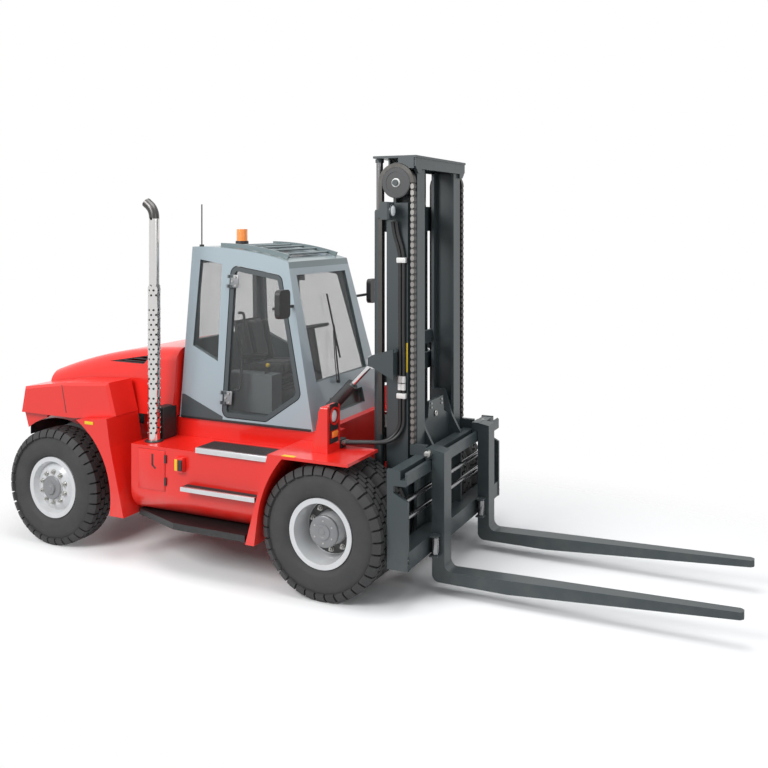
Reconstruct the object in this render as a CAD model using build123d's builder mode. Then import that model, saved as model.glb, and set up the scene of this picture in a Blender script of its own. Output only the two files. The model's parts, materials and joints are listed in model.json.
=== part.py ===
"""Heavy counterbalance forklift truck with a two-stage mast, in millimetres.

Pieces are drawn with x counted ahead of the front axle, y to the left and z up from
the ground. The written pieces are moved along x so that the origin lies on the ground
under the middle of the machine.
"""

from build123d import *
import os
from math import atan2, cos, degrees, hypot, pi

os.makedirs("parts", exist_ok=True)

# Clearances
running_gap = 5.0
pin_gap = 0.3
seat_gap = 0.3

# Wheels
tyre_radius = 552.0
tyre_width = 300.0
tread_width = 248.0
shoulder_drop = 30.0
sidewall_bulge = 55.0
lug_count = 20
lug_height = 26.0
lug_groove = 46.0
rim_seat_radius = 258.0
rim_flange_radius = 290.0
rim_width = 230.0
rim_flange = 15.0
rim_bore = 235.0
wheelbase = 2950.0
twin_spacing = 335.0
tyre_room = 40.0
fender_cover = 15.0
rear_fender_cover = 50.0
hub_radius = 130.0
spindle_radius = 60.0
axle_z = tyre_radius
rear_axle_x = -wheelbase

# Mast sections
mast_outer_y = 560.0
outer_rear_x = 295.0
outer_depth = 200.0
outer_flange = 28.0
outer_web = 25.0
outer_reach = 110.0
outer_bottom_z = 300.0
inner_rear_x = 335.0
inner_depth = 225.0
inner_flange = 26.0
inner_web_y = mast_outer_y - 120
inner_web = 25.0
inner_flange_in_y = mast_outer_y - 215
inner_flange_out_y = mast_outer_y - 50
inner_bottom_z = 330.0
crosshead_top_z = 3652.0
crosshead_half_y = mast_outer_y + 36
crosshead_rear_x = 182.0
crosshead_front_x = 586.0
crosshead_plate = 20.0
inner_top_z = crosshead_top_z - 112
outer_top_z = inner_top_z - 290
pivot_x = 225.0
pivot_z = 560.0
pivot_pin = 35.0
lift_stroke = 1900.0

# Lift chains and sheaves
chain_x = 550.0
chain_y = mast_outer_y + 11
chain_width = 50.0
chain_depth = 34.0
chain_pitch = 76.0
chain_waist = 6.0
chain_low_z = 1207.0
sheave_radius = 133.0
sheave_z = inner_top_z - 120
anchor_z = outer_top_z - 130

# Lift cylinders
lift_x = 190.0
lift_y = mast_outer_y - 80
lift_barrel = 45.0
lift_rod = 30.0
lift_base_z = 740.0
lift_barrel_top_z = outer_top_z - 70

# Tilt cylinders
tilt_y = mast_outer_y + 85
tilt_mast_x = 215.0
tilt_mast_z = 1890.0
tilt_frame_x = -265.0
tilt_frame_z = 1400.0
tilt_barrel = 52.0
tilt_barrel_length = 395.0
tilt_rod = 22.0
tilt_pin = 22.0
tilt_eye = 50.0
tilt_eye_width = 46.0
tilt_drift = 17.0
lug_plate = 16.0
lug_gap = 4.0

# Widths that follow from the mast and the twin tyres beside it
front_outer_y = mast_outer_y + tyre_room + tyre_width / 2 + twin_spacing
body_half_y = front_outer_y + tyre_width / 2 + fender_cover
rear_wheel_y = body_half_y - rear_fender_cover - tyre_width / 2

# Carriage and forks
carriage_half_y = body_half_y - 120
carriage_rear_x = 585.0
beam_top_z = 1125.0
beam_low_z = 340.0
low_beam_height = 145.0
top_beam_height = 120.0
top_beam_depth = 100.0
end_plate = 30.0
end_overhang = 17.0
rail_lip = 16.0
fork_width = 160.0
fork_tip_width = 90.0
fork_y = carriage_half_y - 570
fork_rear_x = 750.0
fork_thick = 110.0
fork_heel_z = 100.0
fork_heel_thick = 98.0
fork_flat_x = 1400.0
fork_tip_x = 3165.0
fork_rise = 112.0
fork_tip_thick = 56.0
fork_clear = 8.0
bar_radius = 22.0
bar_heights = (730.0, 870.0)

# Frame and body
rail_y = mast_outer_y - 20
rail_thick = 40.0
rear_rail_y = 330.0
rail_low_z = 450.0
rail_top_z = 1030.0
deck_z = 1250.0
deck_half_y = rail_y + 160
kingpin_y = rear_wheel_y - 190
kingpin_radius = 32.0
steer_clear = 690.0
arch_radius = 785.0
tank_y = body_half_y - 100
tank_rear_x = rear_axle_x + 950
tank_top_z = 1070.0
tank_low_z = 450.0
counterweight_y = body_half_y - 110
counterweight_rear_x = rear_axle_x - 450
cw_front_x = rear_axle_x - 150
engine_low_z = 800.0
engine_height = 680.0
tow_reach = 140.0
tow_bore = 26.0
hood_half_y = body_half_y - 450
hood_top_half_y = hood_half_y - 85
hood_low_z = 1260.0
hood_rear_x = counterweight_rear_x + 30
hood_front_x = -1816.0
hood_wall = 25.0
hood_hinge_x = hood_rear_x + 45
hood_hinge_z = 1320.0
hood_heel = 22.0
hood_lug_y = 350.0
hood_lug_thick = 30.0

# Cab
cab_low_z = deck_z
cab_half_y = deck_half_y + 20
cab_top_half_y = cab_half_y - 155
cab_side_top_z = 2720.0
cab_wall = 50.0
door_gap = 8.0
door_thick = 40.0
glass_thick = 8.0
glass_inset = 16.0
hinge_x = -1312.0
hinge_out = 23.0
hinge_pin = 8.0
hinge_sleeve = 17.0

inner_front_x = inner_rear_x + inner_depth
sheave_x = chain_x - sheave_radius - chain_depth / 2
chain_rear_x = sheave_x - sheave_radius - chain_depth / 2
anchor_rear_x = chain_rear_x - chain_depth / 2 - 22
rear_reach = -counterweight_rear_x + tow_reach
front_axle_x = (rear_reach - fork_tip_x) / 2
lean = (cab_half_y - cab_top_half_y) / (cab_side_top_z - cab_low_z)


def write(piece, name):
    """Label a finished piece, move it to the machine's origin and write it."""
    placed = piece.moved(Location((front_axle_x, 0, 0)))
    placed.label = name
    export_step(placed, f"parts/{name}.step")


def side_plane(y):
    """Upright plane at y, drawn in (x, z) and extruded toward the right side."""
    return Plane.XZ.offset(-y)


def tyre_ring(radius, y):
    """Outline of the tyre at y, one corner for each lug."""
    with BuildSketch(side_plane(y)) as outline:
        RegularPolygon(radius, lug_count, rotation=180 / lug_count)
    return outline.sketch


# Half a tyre about its own centre, axle along y, with the grooves between its lugs
with BuildPart() as tyre_half:
    for y in (0, tread_width / 2):
        add(tyre_ring(tyre_radius, y))
    loft(ruled=True)
    for radius, y in ((tyre_radius, tread_width / 2), (tyre_radius - shoulder_drop, tyre_width / 2)):
        add(tyre_ring(radius, y))
    loft(ruled=True)
    with BuildSketch(side_plane(tyre_width)):
        with PolarLocations(tyre_radius, lug_count):
            Rectangle(2 * lug_height, lug_groove)
    extrude(amount=tyre_width, mode=Mode.SUBTRACT)

# Both halves, their lugs staggered by half a pitch, with the bead seat and the hollow sidewalls
with BuildPart() as tyre_form:
    add(tyre_half.part)
    add(mirror(tyre_half.part, about=Plane.XZ).rotate(Axis.Y, 180 / lug_count))
    bead = rim_width / 2 - rim_flange - seat_gap
    neck = (rim_flange_radius + seat_gap) / cos(pi / lug_count)
    for flip in (1, -1):
        for radius, y in ((neck, flip * bead), (neck + sidewall_bulge, flip * (tyre_width / 2 + 1))):
            add(tyre_ring(radius, y))
        loft(ruled=True, mode=Mode.SUBTRACT)
    for y in (-tyre_width, tyre_width):
        add(tyre_ring((rim_seat_radius + seat_gap) / cos(pi / lug_count), y))
    loft(ruled=True, mode=Mode.SUBTRACT)


def rim_ring(centre):
    """Rim outline from its outer flange to its inner one, as (radius, y) points."""
    half = rim_width / 2
    return [
        (rim_flange_radius, centre + half),
        (rim_flange_radius, centre + half - rim_flange),
        (rim_seat_radius, centre + half - rim_flange),
        (rim_seat_radius, centre - half + rim_flange),
        (rim_flange_radius, centre - half + rim_flange),
        (rim_flange_radius, centre - half),
    ]


disc_out_y = front_outer_y - 85
disc_in_y = disc_out_y - 30
hub_face_y = front_outer_y + 35
twin_inner_y = front_outer_y - twin_spacing
spindle_depth = 70.0

# Twin front wheel of the left side: two rims on one hub, open on the inside
with BuildPart() as front_rim_form:
    with BuildSketch(Plane.XY):
        Polygon(
            (0, hub_face_y + 30),
            (60, hub_face_y + 30),
            (60, hub_face_y),
            (hub_radius, hub_face_y),
            (hub_radius + 14, disc_out_y),
            (rim_bore - 12, disc_out_y),
            (rim_bore + 12, front_outer_y + rim_width / 2),
            *rim_ring(front_outer_y),
            (rim_seat_radius, front_outer_y - rim_width / 2),
            (rim_seat_radius, twin_inner_y + rim_width / 2),
            *rim_ring(twin_inner_y),
            (rim_bore, twin_inner_y - rim_width / 2),
            (rim_bore, disc_in_y),
            (spindle_radius + pin_gap, disc_in_y),
            (spindle_radius + pin_gap, disc_in_y + spindle_depth),
            (0, disc_in_y + spindle_depth),
            align=None,
        )
    revolve(axis=Axis.Y)

rear_disc_y = rear_wheel_y + 40

# Single rear wheel of the left side, with its disc domed outward
with BuildPart() as rear_rim_form:
    with BuildSketch(Plane.XY):
        Polygon(
            (0, rear_wheel_y + 150),
            (52, rear_wheel_y + 150),
            (58, rear_wheel_y + 128),
            (110, rear_wheel_y + 124),
            (118, rear_wheel_y + 100),
            (170, rear_wheel_y + 92),
            (rim_bore - 10, rear_disc_y + 20),
            (rim_bore + 12, rear_wheel_y + rim_width / 2),
            *rim_ring(rear_wheel_y),
            (rim_bore, rear_wheel_y - rim_width / 2),
            (rim_bore, rear_disc_y),
            (170, rear_disc_y + 22),
            (spindle_radius + pin_gap, rear_disc_y + 22),
            (spindle_radius + pin_gap, rear_disc_y + 22 + spindle_depth),
            (0, rear_disc_y + 22 + spindle_depth),
            align=None,
        )
    revolve(axis=Axis.Y)

front_right_rims = mirror(front_rim_form.part, about=Plane.XZ)
rear_right_rim = mirror(rear_rim_form.part, about=Plane.XZ)
front_axle = Location((0, 0, axle_z))
rear_axle = Location((rear_axle_x, 0, axle_z))

for side, sign in (("left", 1), ("right", -1)):
    with BuildPart() as front_tyres:
        with Locations((0, sign * front_outer_y, axle_z), (0, sign * twin_inner_y, axle_z)):
            add(tyre_form.part)
    with BuildPart() as rear_tyre:
        with Locations((rear_axle_x, sign * rear_wheel_y, axle_z)):
            add(tyre_form.part)
    write(front_tyres.part, f"front_{side}_tyres")
    write(rear_tyre.part, f"rear_{side}_tyre")
write(front_rim_form.part.moved(front_axle), "front_left_rims")
write(front_right_rims.moved(front_axle), "front_right_rims")
write(rear_rim_form.part.moved(rear_axle), "rear_left_rim")
write(rear_right_rim.moved(rear_axle), "rear_right_rim")

# Drive axle with its differential and the spindles that carry the twin wheels
axle_tube = 120.0
with BuildPart() as drive_axle:
    with BuildSketch(Plane.XY):
        Polygon(
            (0, -disc_in_y - spindle_depth + running_gap),
            (spindle_radius, -disc_in_y - spindle_depth + running_gap),
            (spindle_radius, -disc_in_y + 20),
            (100, -disc_in_y + 40),
            (axle_tube, -rail_y),
            (axle_tube, -270),
            (220, -130),
            (220, 130),
            (axle_tube, 270),
            (axle_tube, rail_y),
            (100, disc_in_y - 40),
            (spindle_radius, disc_in_y - 20),
            (spindle_radius, disc_in_y + spindle_depth - running_gap),
            (0, disc_in_y + spindle_depth - running_gap),
            align=None,
        )
    revolve(axis=Axis.Y)
write(drive_axle.part.moved(front_axle), "drive_axle")

# Steer axle: a beam with a forked jaw at each end around the kingpin
beam_half = 90.0
jaw_half = 100.0
jaw_thick = 40.0
knuckle_half_z = 105.0
jaw_z = knuckle_half_z + 1 + jaw_thick
jaw_out = 55.0
with BuildPart() as steer_axle:
    with Locations((rear_axle_x, 0, axle_z)):
        Box(2 * beam_half, 2 * (kingpin_y - 150), 2 * beam_half)
    with BuildSketch(Plane.XZ.offset(-kingpin_y + 150)):
        with Locations((rear_axle_x, axle_z)):
            Rectangle(2 * jaw_half, 2 * jaw_z)
    extrude(amount=60)
    for level in (-1, 1):
        with BuildSketch(Plane.XY.offset(axle_z + level * (jaw_z - jaw_thick / 2))):
            with Locations((rear_axle_x, (kingpin_y - 150 + kingpin_y) / 2)):
                Rectangle(2 * jaw_out, 150)
            with Locations((rear_axle_x, kingpin_y)):
                Circle(jaw_out)
        extrude(amount=jaw_thick / 2, both=True)
    with Locations((rear_axle_x, kingpin_y, axle_z)):
        Cylinder(kingpin_radius, 2 * jaw_z)
    with Locations((rear_axle_x, rear_rail_y - 100, axle_z + 160)):
        Box(220, 120, 160)
    mirror(about=Plane.XZ)
write(steer_axle.part, "steer_axle")

# Steering knuckle of the left side, turning on the kingpin
with BuildPart() as knuckle:
    with Locations((rear_axle_x, kingpin_y, axle_z)):
        Cylinder(62, 2 * knuckle_half_z)
    with Locations(Location((rear_axle_x, kingpin_y, axle_z), (-90, 0, 0))):
        Cylinder(85, rear_disc_y - kingpin_y, align=(Align.CENTER, Align.CENTER, Align.MIN))
        Cylinder(
            spindle_radius,
            rear_disc_y - kingpin_y + 22 + spindle_depth - running_gap,
            align=(Align.CENTER, Align.CENTER, Align.MIN),
        )
    with Locations((rear_axle_x, kingpin_y, axle_z)):
        Cylinder(kingpin_radius + pin_gap, 4 * knuckle_half_z, mode=Mode.SUBTRACT)
write(knuckle.part, "knuckle_left")
write(mirror(knuckle.part, about=Plane.XZ), "knuckle_right")

# Frame: rails, cross walls, deck, mast brackets and tilt cylinder brackets
bracket_in = mast_outer_y - 85
bracket_out = bracket_in + 50
bracket_plate = 35.0
bracket_front_x = 258.0
front_wall_x = -270.0
rear_wall_x = rear_axle_x + 720
tilt_bracket_in = tilt_y - tilt_eye_width / 2 - lug_gap
tilt_bracket_out = tilt_y + tilt_eye_width / 2 + lug_gap + lug_plate
with BuildPart() as chassis_frame:
    with BuildSketch(side_plane(rail_y)):
        Polygon(
            (front_wall_x, rail_low_z + 60),
            (front_wall_x, deck_z),
            (rear_wall_x, deck_z),
            (rear_wall_x, rail_low_z + 150),
            (rear_wall_x + 150, rail_low_z),
            (front_wall_x - 60, rail_low_z),
            align=None,
        )
    extrude(amount=rail_thick)
    with BuildSketch(side_plane(rear_rail_y)):
        Polygon(
            (rear_wall_x + 40, rail_low_z + 150),
            (rear_wall_x + 40, rail_top_z),
            (cw_front_x, rail_top_z),
            (cw_front_x, axle_z + 240),
            (rear_wall_x - 200, axle_z + 240),
            align=None,
        )
    extrude(amount=rail_thick)
    with Locations((rear_wall_x + 20, rail_y / 2, (rail_low_z + 150 + deck_z) / 2)):
        Box(40, rail_y, deck_z - rail_low_z - 150)
    with Locations((front_wall_x - 20, rail_y / 2, (rail_low_z + 60 + deck_z) / 2)):
        Box(40, rail_y, deck_z - rail_low_z - 60)
    with BuildSketch(Plane.XY.offset(deck_z)):
        with Locations(((front_wall_x + rear_wall_x) / 2, deck_half_y / 2)):
            Rectangle(front_wall_x - rear_wall_x, deck_half_y)
    extrude(amount=-25)
    with BuildSketch(side_plane(deck_half_y)):
        Polygon(
            (front_wall_x - 60, tank_top_z),
            (front_wall_x - 60, deck_z),
            (rear_wall_x, deck_z),
            (rear_wall_x, tank_top_z),
            align=None,
        )
    extrude(amount=25)
    for y in (bracket_in, bracket_out + bracket_plate):
        with BuildSketch(side_plane(y)):
            Polygon(
                (front_wall_x, axle_z + 150),
                (60, axle_z + 130),
                (bracket_front_x - 40, pivot_z + 60),
                (bracket_front_x, pivot_z + 20),
                (bracket_front_x, pivot_z - 40),
                (bracket_front_x - 40, pivot_z - 80),
                (front_wall_x, axle_z - 40),
                align=None,
            )
            with Locations((0, axle_z)):
                Circle(axle_tube + seat_gap, mode=Mode.SUBTRACT)
        extrude(amount=bracket_plate)
    with Locations(Location((pivot_x, (bracket_in + bracket_out) / 2, pivot_z), (90, 0, 0))):
        Cylinder(pivot_pin, bracket_out - bracket_in + 2 * bracket_plate)
    for y in (tilt_bracket_in, tilt_bracket_out):
        with BuildSketch(side_plane(y)):
            with BuildLine():
                Polyline(
                    (tilt_frame_x + 46, tilt_frame_z),
                    (tilt_frame_x + 90, deck_z - 30),
                    (tilt_frame_x - 40, deck_z - 30),
                    (tilt_frame_x - 46, tilt_frame_z),
                )
                ThreePointArc(
                    (tilt_frame_x - 46, tilt_frame_z),
                    (tilt_frame_x, tilt_frame_z + 46),
                    (tilt_frame_x + 46, tilt_frame_z),
                )
            make_face()
        extrude(amount=lug_plate)
    with Locations(Location((tilt_frame_x, tilt_y, tilt_frame_z), (90, 0, 0))):
        Cylinder(tilt_pin, tilt_eye_width + 2 * lug_gap + 2 * lug_plate)
    with Locations(((tilt_frame_x + front_wall_x) / 2 + 30, (tilt_y + rail_y) / 2, deck_z - 15)):
        Box(170, 240, 30)
    mirror(about=Plane.XZ)
write(chassis_frame.part, "chassis_frame")

# Counterweight: wings over the rear wheels, a low middle block and the tow clevis
wing_low_z = 1232.0
wing_chamfer = 24.0
block_y = counterweight_y - 60
with BuildPart() as counterweight:
    with BuildSketch(side_plane(counterweight_y)):
        Polygon(
            (counterweight_rear_x, wing_low_z),
            (counterweight_rear_x + 50, 1480),
            (rear_axle_x + 110, 1555),
            (rear_axle_x + 650, 1590),
            (rear_axle_x + 740, 1290),
            (rear_axle_x + 250, wing_low_z),
            align=None,
        )
    extrude(amount=counterweight_y)
    outer_side = counterweight.faces().sort_by(Axis.Y)[-1]
    chamfer(outer_side.edges().filter_by_position(Axis.Z, 1320, 1600), wing_chamfer)
    with BuildSketch(side_plane(hood_half_y + 12)):
        Polygon(
            (counterweight_rear_x - 50, hood_low_z - 10),
            (counterweight_rear_x - 50, 1700),
            (tank_rear_x, 1700),
            (tank_rear_x, wing_low_z - 10),
            (cw_front_x, wing_low_z - 10),
            (cw_front_x, hood_low_z - 10),
            align=None,
        )
    extrude(amount=hood_half_y + 12, mode=Mode.SUBTRACT)
    with BuildSketch(side_plane(block_y)):
        Polygon(
            (counterweight_rear_x, wing_low_z),
            (counterweight_rear_x + 90, 960),
            (cw_front_x, 960),
            (cw_front_x, wing_low_z),
            align=None,
        )
    extrude(amount=block_y)
    with BuildSketch(side_plane(rear_rail_y - 10)):
        Polygon(
            (counterweight_rear_x, wing_low_z),
            (counterweight_rear_x - 60, 900),
            (counterweight_rear_x - 30, 520),
            (cw_front_x - 80, 480),
            (cw_front_x, 700),
            (cw_front_x, wing_low_z),
            align=None,
        )
    extrude(amount=rear_rail_y - 10)
    with Locations((rear_axle_x, kingpin_y, axle_z)):
        Sphere(steer_clear, mode=Mode.SUBTRACT)
    for y in (hood_lug_y - 20, hood_lug_y + 50):
        with BuildSketch(side_plane(y)):
            with Locations((hood_hinge_x, (hood_hinge_z + hood_low_z - 20) / 2)):
                Rectangle(30, hood_hinge_z - hood_low_z + 20)
            with Locations((hood_hinge_x, hood_hinge_z)):
                Circle(18)
                Circle(12 + pin_gap, mode=Mode.SUBTRACT)
        extrude(amount=hood_lug_thick)
    mirror(about=Plane.XZ)
    for z in (690, 790):
        with BuildSketch(Plane.XY.offset(z)):
            with Locations((counterweight_rear_x - tow_reach / 2 + 20, 0)):
                Rectangle(tow_reach + 40, 150)
            with Locations((counterweight_rear_x - tow_reach / 2 - 20, 0)):
                Circle(tow_bore, mode=Mode.SUBTRACT)
        extrude(amount=30)
write(counterweight.part, "counterweight")

# Engine: one plain block between the rails
with BuildPart() as engine_block:
    with Locations(((cw_front_x + rear_wall_x) / 2, 0, engine_low_z)):
        Box(
            rear_wall_x - cw_front_x - 40,
            2 * (rear_rail_y - rail_thick),
            engine_height,
            align=(Align.CENTER, Align.CENTER, Align.MIN),
        )
write(engine_block.part, "engine_block")


def hood_form(inset, low_z):
    """Hood outline: an arched side view trimmed to a tapering front view."""
    with BuildPart(mode=Mode.PRIVATE) as form:
        with BuildSketch(Plane.XZ):
            with BuildLine():
                top = ThreePointArc(
                    (hood_rear_x + inset, 1585 - inset),
                    ((hood_rear_x + hood_front_x) / 2, 1806 - inset),
                    (hood_front_x - inset, 1892 - inset),
                )
                Polyline(top @ 1, (hood_front_x - inset, low_z), (hood_rear_x + inset, low_z), top @ 0)
            make_face()
        extrude(amount=hood_half_y, both=True)
        with BuildSketch(Plane.YZ):
            Polygon(
                (-hood_half_y + inset, low_z),
                (-hood_top_half_y + inset, 1950),
                (hood_top_half_y - inset, 1950),
                (hood_half_y - inset, low_z),
                align=None,
            )
        extrude(amount=-4 * hood_rear_x, both=True, mode=Mode.INTERSECT)
        fillet(form.faces().sort_by(Axis.Z)[-1].edges().filter_by(Axis.Y, reverse=True), 140 - inset)
    return form.part


vent_points = ((-2640, 1722), (-2120, 1812), (-2200, 1722))
vent_inset = 8.0
vent_slats = 7
with BuildPart(mode=Mode.PRIVATE) as vent_prism:
    with BuildSketch(Plane.XZ):
        Polygon(*vent_points, align=None)
    extrude(amount=hood_half_y, both=True)

with BuildPart() as hood:
    add(hood_form(0, hood_low_z))
    add(hood_form(hood_wall, hood_low_z - 1), mode=Mode.SUBTRACT)
    add(vent_prism.part, mode=Mode.SUBTRACT)
    with Locations((hood_rear_x, 0, hood_low_z)):
        Box(2 * (hood_hinge_x - hood_rear_x) - 30, 2 * hood_half_y, 2 * hood_heel, mode=Mode.SUBTRACT)
    with Locations((hood_rear_x, hood_lug_y, hood_low_z), (hood_rear_x, -hood_lug_y, hood_low_z)):
        Box(2 * hood_wall + 4, 110, 2 * (hood_hinge_z - hood_low_z + 20), mode=Mode.SUBTRACT)
    with Locations(Location((hood_hinge_x, 0, hood_hinge_z), (90, 0, 0))):
        Cylinder(12, 2 * (hood_lug_y + 70))
    with Locations(
        (hood_hinge_x - 12, hood_lug_y + 70, hood_hinge_z),
        (hood_hinge_x - 12, -hood_lug_y - 70, hood_hinge_z),
    ):
        Box(50, hood_lug_thick, 40)
write(hood.part, "hood")

# Grilles in the shoulders of the hood: a rim and slats that follow its curve
vent_layer = hood_form(vent_inset, hood_low_z) - hood_form(vent_inset + 8, hood_low_z - 1)
with BuildPart() as hood_grilles:
    add(vent_layer & vent_prism.part)
    with BuildSketch(Plane.XZ):
        Polygon(*vent_points, align=None)
        offset(amount=-10, kind=Kind.INTERSECTION)
        with GridLocations(1, 24, 1, vent_slats):
            with Locations((vent_points[2][0], (vent_points[0][1] + vent_points[1][1]) / 2)):
                Rectangle(1200, 8, mode=Mode.SUBTRACT)
    extrude(amount=hood_half_y, both=True, mode=Mode.SUBTRACT)
write(hood_grilles.part, "hood_grilles")

# Side tanks, seated between the rails and the fender legs
leg_rear = ((-470, 1160), (-560, 850), (-692, 377))
with BuildPart() as side_tanks:
    with BuildSketch(side_plane(tank_y)):
        Polygon(
            (tank_rear_x, tank_low_z),
            (tank_rear_x, tank_top_z),
            (-500, tank_top_z),
            (leg_rear[1][0] - 4, leg_rear[1][1]),
            (-676, tank_low_z),
            align=None,
        )
    extrude(amount=tank_y - rail_y)
    low_edges = side_tanks.edges().filter_by(Axis.X).group_by(Axis.Z)[0]
    fillet(low_edges.sort_by(Axis.Y)[-1], 210)
    mirror(about=Plane.XZ)
write(side_tanks.part, "side_tanks")

# Front fenders: a top plate over the twin tyres and a leg down behind them
with BuildPart() as front_fenders:
    with BuildSketch(side_plane(body_half_y)):
        with BuildLine():
            Polyline(
                (-335, 1135),
                (280, 1135),
                (280, 1160),
                *leg_rear,
                (-604, 377),
                (-572, axle_z + 60),
            )
            ThreePointArc((-572, axle_z + 60), (-500, 875), (-335, 1135))
        make_face()
    extrude(amount=body_half_y - deck_half_y)
    mirror(about=Plane.XZ)
write(front_fenders.part, "front_fenders")

# Rear fenders: arches over the steered wheels with a leg in front
with BuildPart() as rear_fenders:
    with BuildSketch(side_plane(body_half_y - 10)):
        Polygon(
            (rear_axle_x + 250, wing_low_z - seat_gap),
            (rear_axle_x + 736, 1288),
            (rear_axle_x + 780, 1030),
            (rear_axle_x + 938, 410),
            (rear_axle_x + 650, 410),
            (rear_axle_x + 250, 1150),
            align=None,
        )
        with Locations((rear_axle_x, axle_z)):
            Circle(arch_radius, mode=Mode.SUBTRACT)
    extrude(amount=body_half_y - 10 - hood_half_y - 12)
    mirror(about=Plane.XZ)
write(rear_fenders.part, "rear_fenders")

# Steps on each side: a tread on the tank, a lower tread and a running board
with BuildPart() as steps:
    with BuildSketch(Plane.XY.offset(tank_top_z)):
        with Locations((-880, tank_y - 110)):
            Rectangle(760, 280)
    extrude(amount=45)
    with BuildSketch(Plane.XY.offset(740)):
        with Locations((-985, tank_y + 50)):
            Rectangle(770, 100)
    extrude(amount=36)
    with BuildSketch(Plane.XY.offset(394)):
        Polygon(
            (tank_rear_x, rail_y + 100),
            (tank_rear_x, tank_y - 110),
            (-1450, body_half_y - 5),
            (-700, body_half_y - 5),
            (-700, rail_y + 100),
            align=None,
        )
    extrude(amount=56)
    mirror(about=Plane.XZ)
write(steps.part, "steps")


def cab_form(inset):
    """Cab outline pulled in by inset: side view trimmed to the leaning front view."""
    with BuildPart(mode=Mode.PRIVATE) as form:
        with BuildSketch(Plane.XZ):
            with BuildLine():
                roof = ThreePointArc((-1771, 2850), (-1213, 2824), (-690, 2722))
                Polyline(
                    roof @ 1,
                    (-405, 1512),
                    (-345, cab_low_z),
                    (-1790, cab_low_z),
                    roof @ 0,
                )
            make_face()
            if inset:
                offset(amount=-inset, kind=Kind.INTERSECTION)
        extrude(amount=cab_half_y, both=True)
        top_y = cab_half_y - lean * 2000
        with BuildSketch(Plane.YZ):
            Polygon(
                (-cab_half_y, cab_low_z),
                (-top_y, cab_low_z + 2000),
                (top_y, cab_low_z + 2000),
                (cab_half_y, cab_low_z),
                align=None,
            )
            if inset:
                offset(amount=-inset, kind=Kind.INTERSECTION)
        extrude(amount=4000, both=True, mode=Mode.INTERSECT)
    return form.part


def through_sides(points, shrink=0.0, corner=0.0):
    """Prism through both cab sides from an outline in (x, z), its corners rounded."""
    with BuildPart(mode=Mode.PRIVATE) as prism:
        with BuildSketch(Plane.XZ) as outline:
            Polygon(*points, align=None)
            if corner:
                fillet(outline.vertices(), corner)
            if shrink:
                offset(amount=-shrink, kind=Kind.INTERSECTION)
        extrude(amount=1000, both=True)
    return prism.part


def along_x(points, start, length):
    """Prism along x from an outline in (y, z)."""
    with BuildPart(mode=Mode.PRIVATE) as prism:
        with BuildSketch(Plane.YZ.offset(start)):
            Polygon(*points, align=None)
        extrude(amount=length)
    return prism.part


door_outline = ((-1316, 1285), (-830, 1285), (-478, 1530), (-752, 2600), (-1316, 2690))
quarter_window = ((-1690, 1920), (-1395, 1790), (-1415, 2690), (-1668, 2730))
roof_seam = ((-2000, 2772), (-2000, 3000), (-400, 3000), (-400, 2640))
screen_low_y = cab_top_half_y - 65
screen_top_y = cab_top_half_y - 95
roof_window_y = cab_top_half_y - 145
windscreen = ((-screen_low_y, 1640), (screen_low_y, 1640), (screen_top_y, 2600), (-screen_top_y, 2600))
rear_window = ((-screen_low_y, 1960), (screen_low_y, 1960), (screen_top_y, 2690), (-screen_top_y, 2690))
foot_window = ((-330, 1330), (330, 1330), (330, 1470), (-330, 1470))
roof_window = (
    (-1560, -roof_window_y),
    (-800, -roof_window_y),
    (-800, roof_window_y),
    (-1560, roof_window_y),
)
door_frame = 42.0
door_corner = 75.0

cab_outer = cab_form(0)
cab_inner = cab_form(cab_wall)
glass_layer = cab_form(glass_inset) - cab_form(glass_inset + glass_thick)
front_prisms = (
    along_x(windscreen, -1000, 700),
    along_x(foot_window, -600, 400),
)
rear_prism = along_x(rear_window, -2000, 400)
quarter_prism = through_sides(quarter_window)
with BuildPart(mode=Mode.PRIVATE) as roof_prism:
    with BuildSketch(Plane.XY.offset(2600)):
        Polygon(*roof_window, align=None)
    extrude(amount=400)
left_hinge = Plane(
    origin=(hinge_x, cab_half_y + hinge_out, cab_low_z),
    x_dir=(1, 0, 0),
    z_dir=(0, -lean, 1),
)
hinge_heights = (190.0, 1260.0)
hinge_length = 60.0

# Cab frame: floor, lower panels and pillars with every window and door cut
with BuildPart() as cab_frame:
    add(cab_outer)
    add(cab_inner, mode=Mode.SUBTRACT)
    add(through_sides(roof_seam), mode=Mode.SUBTRACT)
    add(through_sides(door_outline, 0, door_corner), mode=Mode.SUBTRACT)
    add(quarter_prism, mode=Mode.SUBTRACT)
    for prism in (*front_prisms, rear_prism):
        add(prism, mode=Mode.SUBTRACT)
    for height in hinge_heights:
        with BuildSketch(left_hinge.offset(height)):
            with Locations((-20, -hinge_out + 1)):
                Rectangle(40, 2 * hinge_out)
            Circle(hinge_sleeve)
            Circle(hinge_pin + pin_gap, mode=Mode.SUBTRACT)
        extrude(amount=hinge_length)
        mirrored = left_hinge.offset(height)
        with BuildSketch(
            Plane(
                origin=(mirrored.origin.X, -mirrored.origin.Y, mirrored.origin.Z),
                x_dir=(1, 0, 0),
                z_dir=(0, lean, 1),
            )
        ):
            with Locations((-20, hinge_out - 1)):
                Rectangle(40, 2 * hinge_out)
            Circle(hinge_sleeve)
            Circle(hinge_pin + pin_gap, mode=Mode.SUBTRACT)
        extrude(amount=hinge_length)
write(cab_frame.part, "cab_frame")

with BuildPart() as cab_roof:
    add(cab_outer)
    add(cab_inner, mode=Mode.SUBTRACT)
    add(through_sides(roof_seam), mode=Mode.INTERSECT)
    add(roof_prism.part, mode=Mode.SUBTRACT)
write(cab_roof.part, "cab_roof")


# Panes: the glass layer inside each window
with BuildPart() as windscreen_panes:
    for prism in front_prisms:
        add(glass_layer & prism)
write(windscreen_panes.part, "windscreen")

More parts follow.
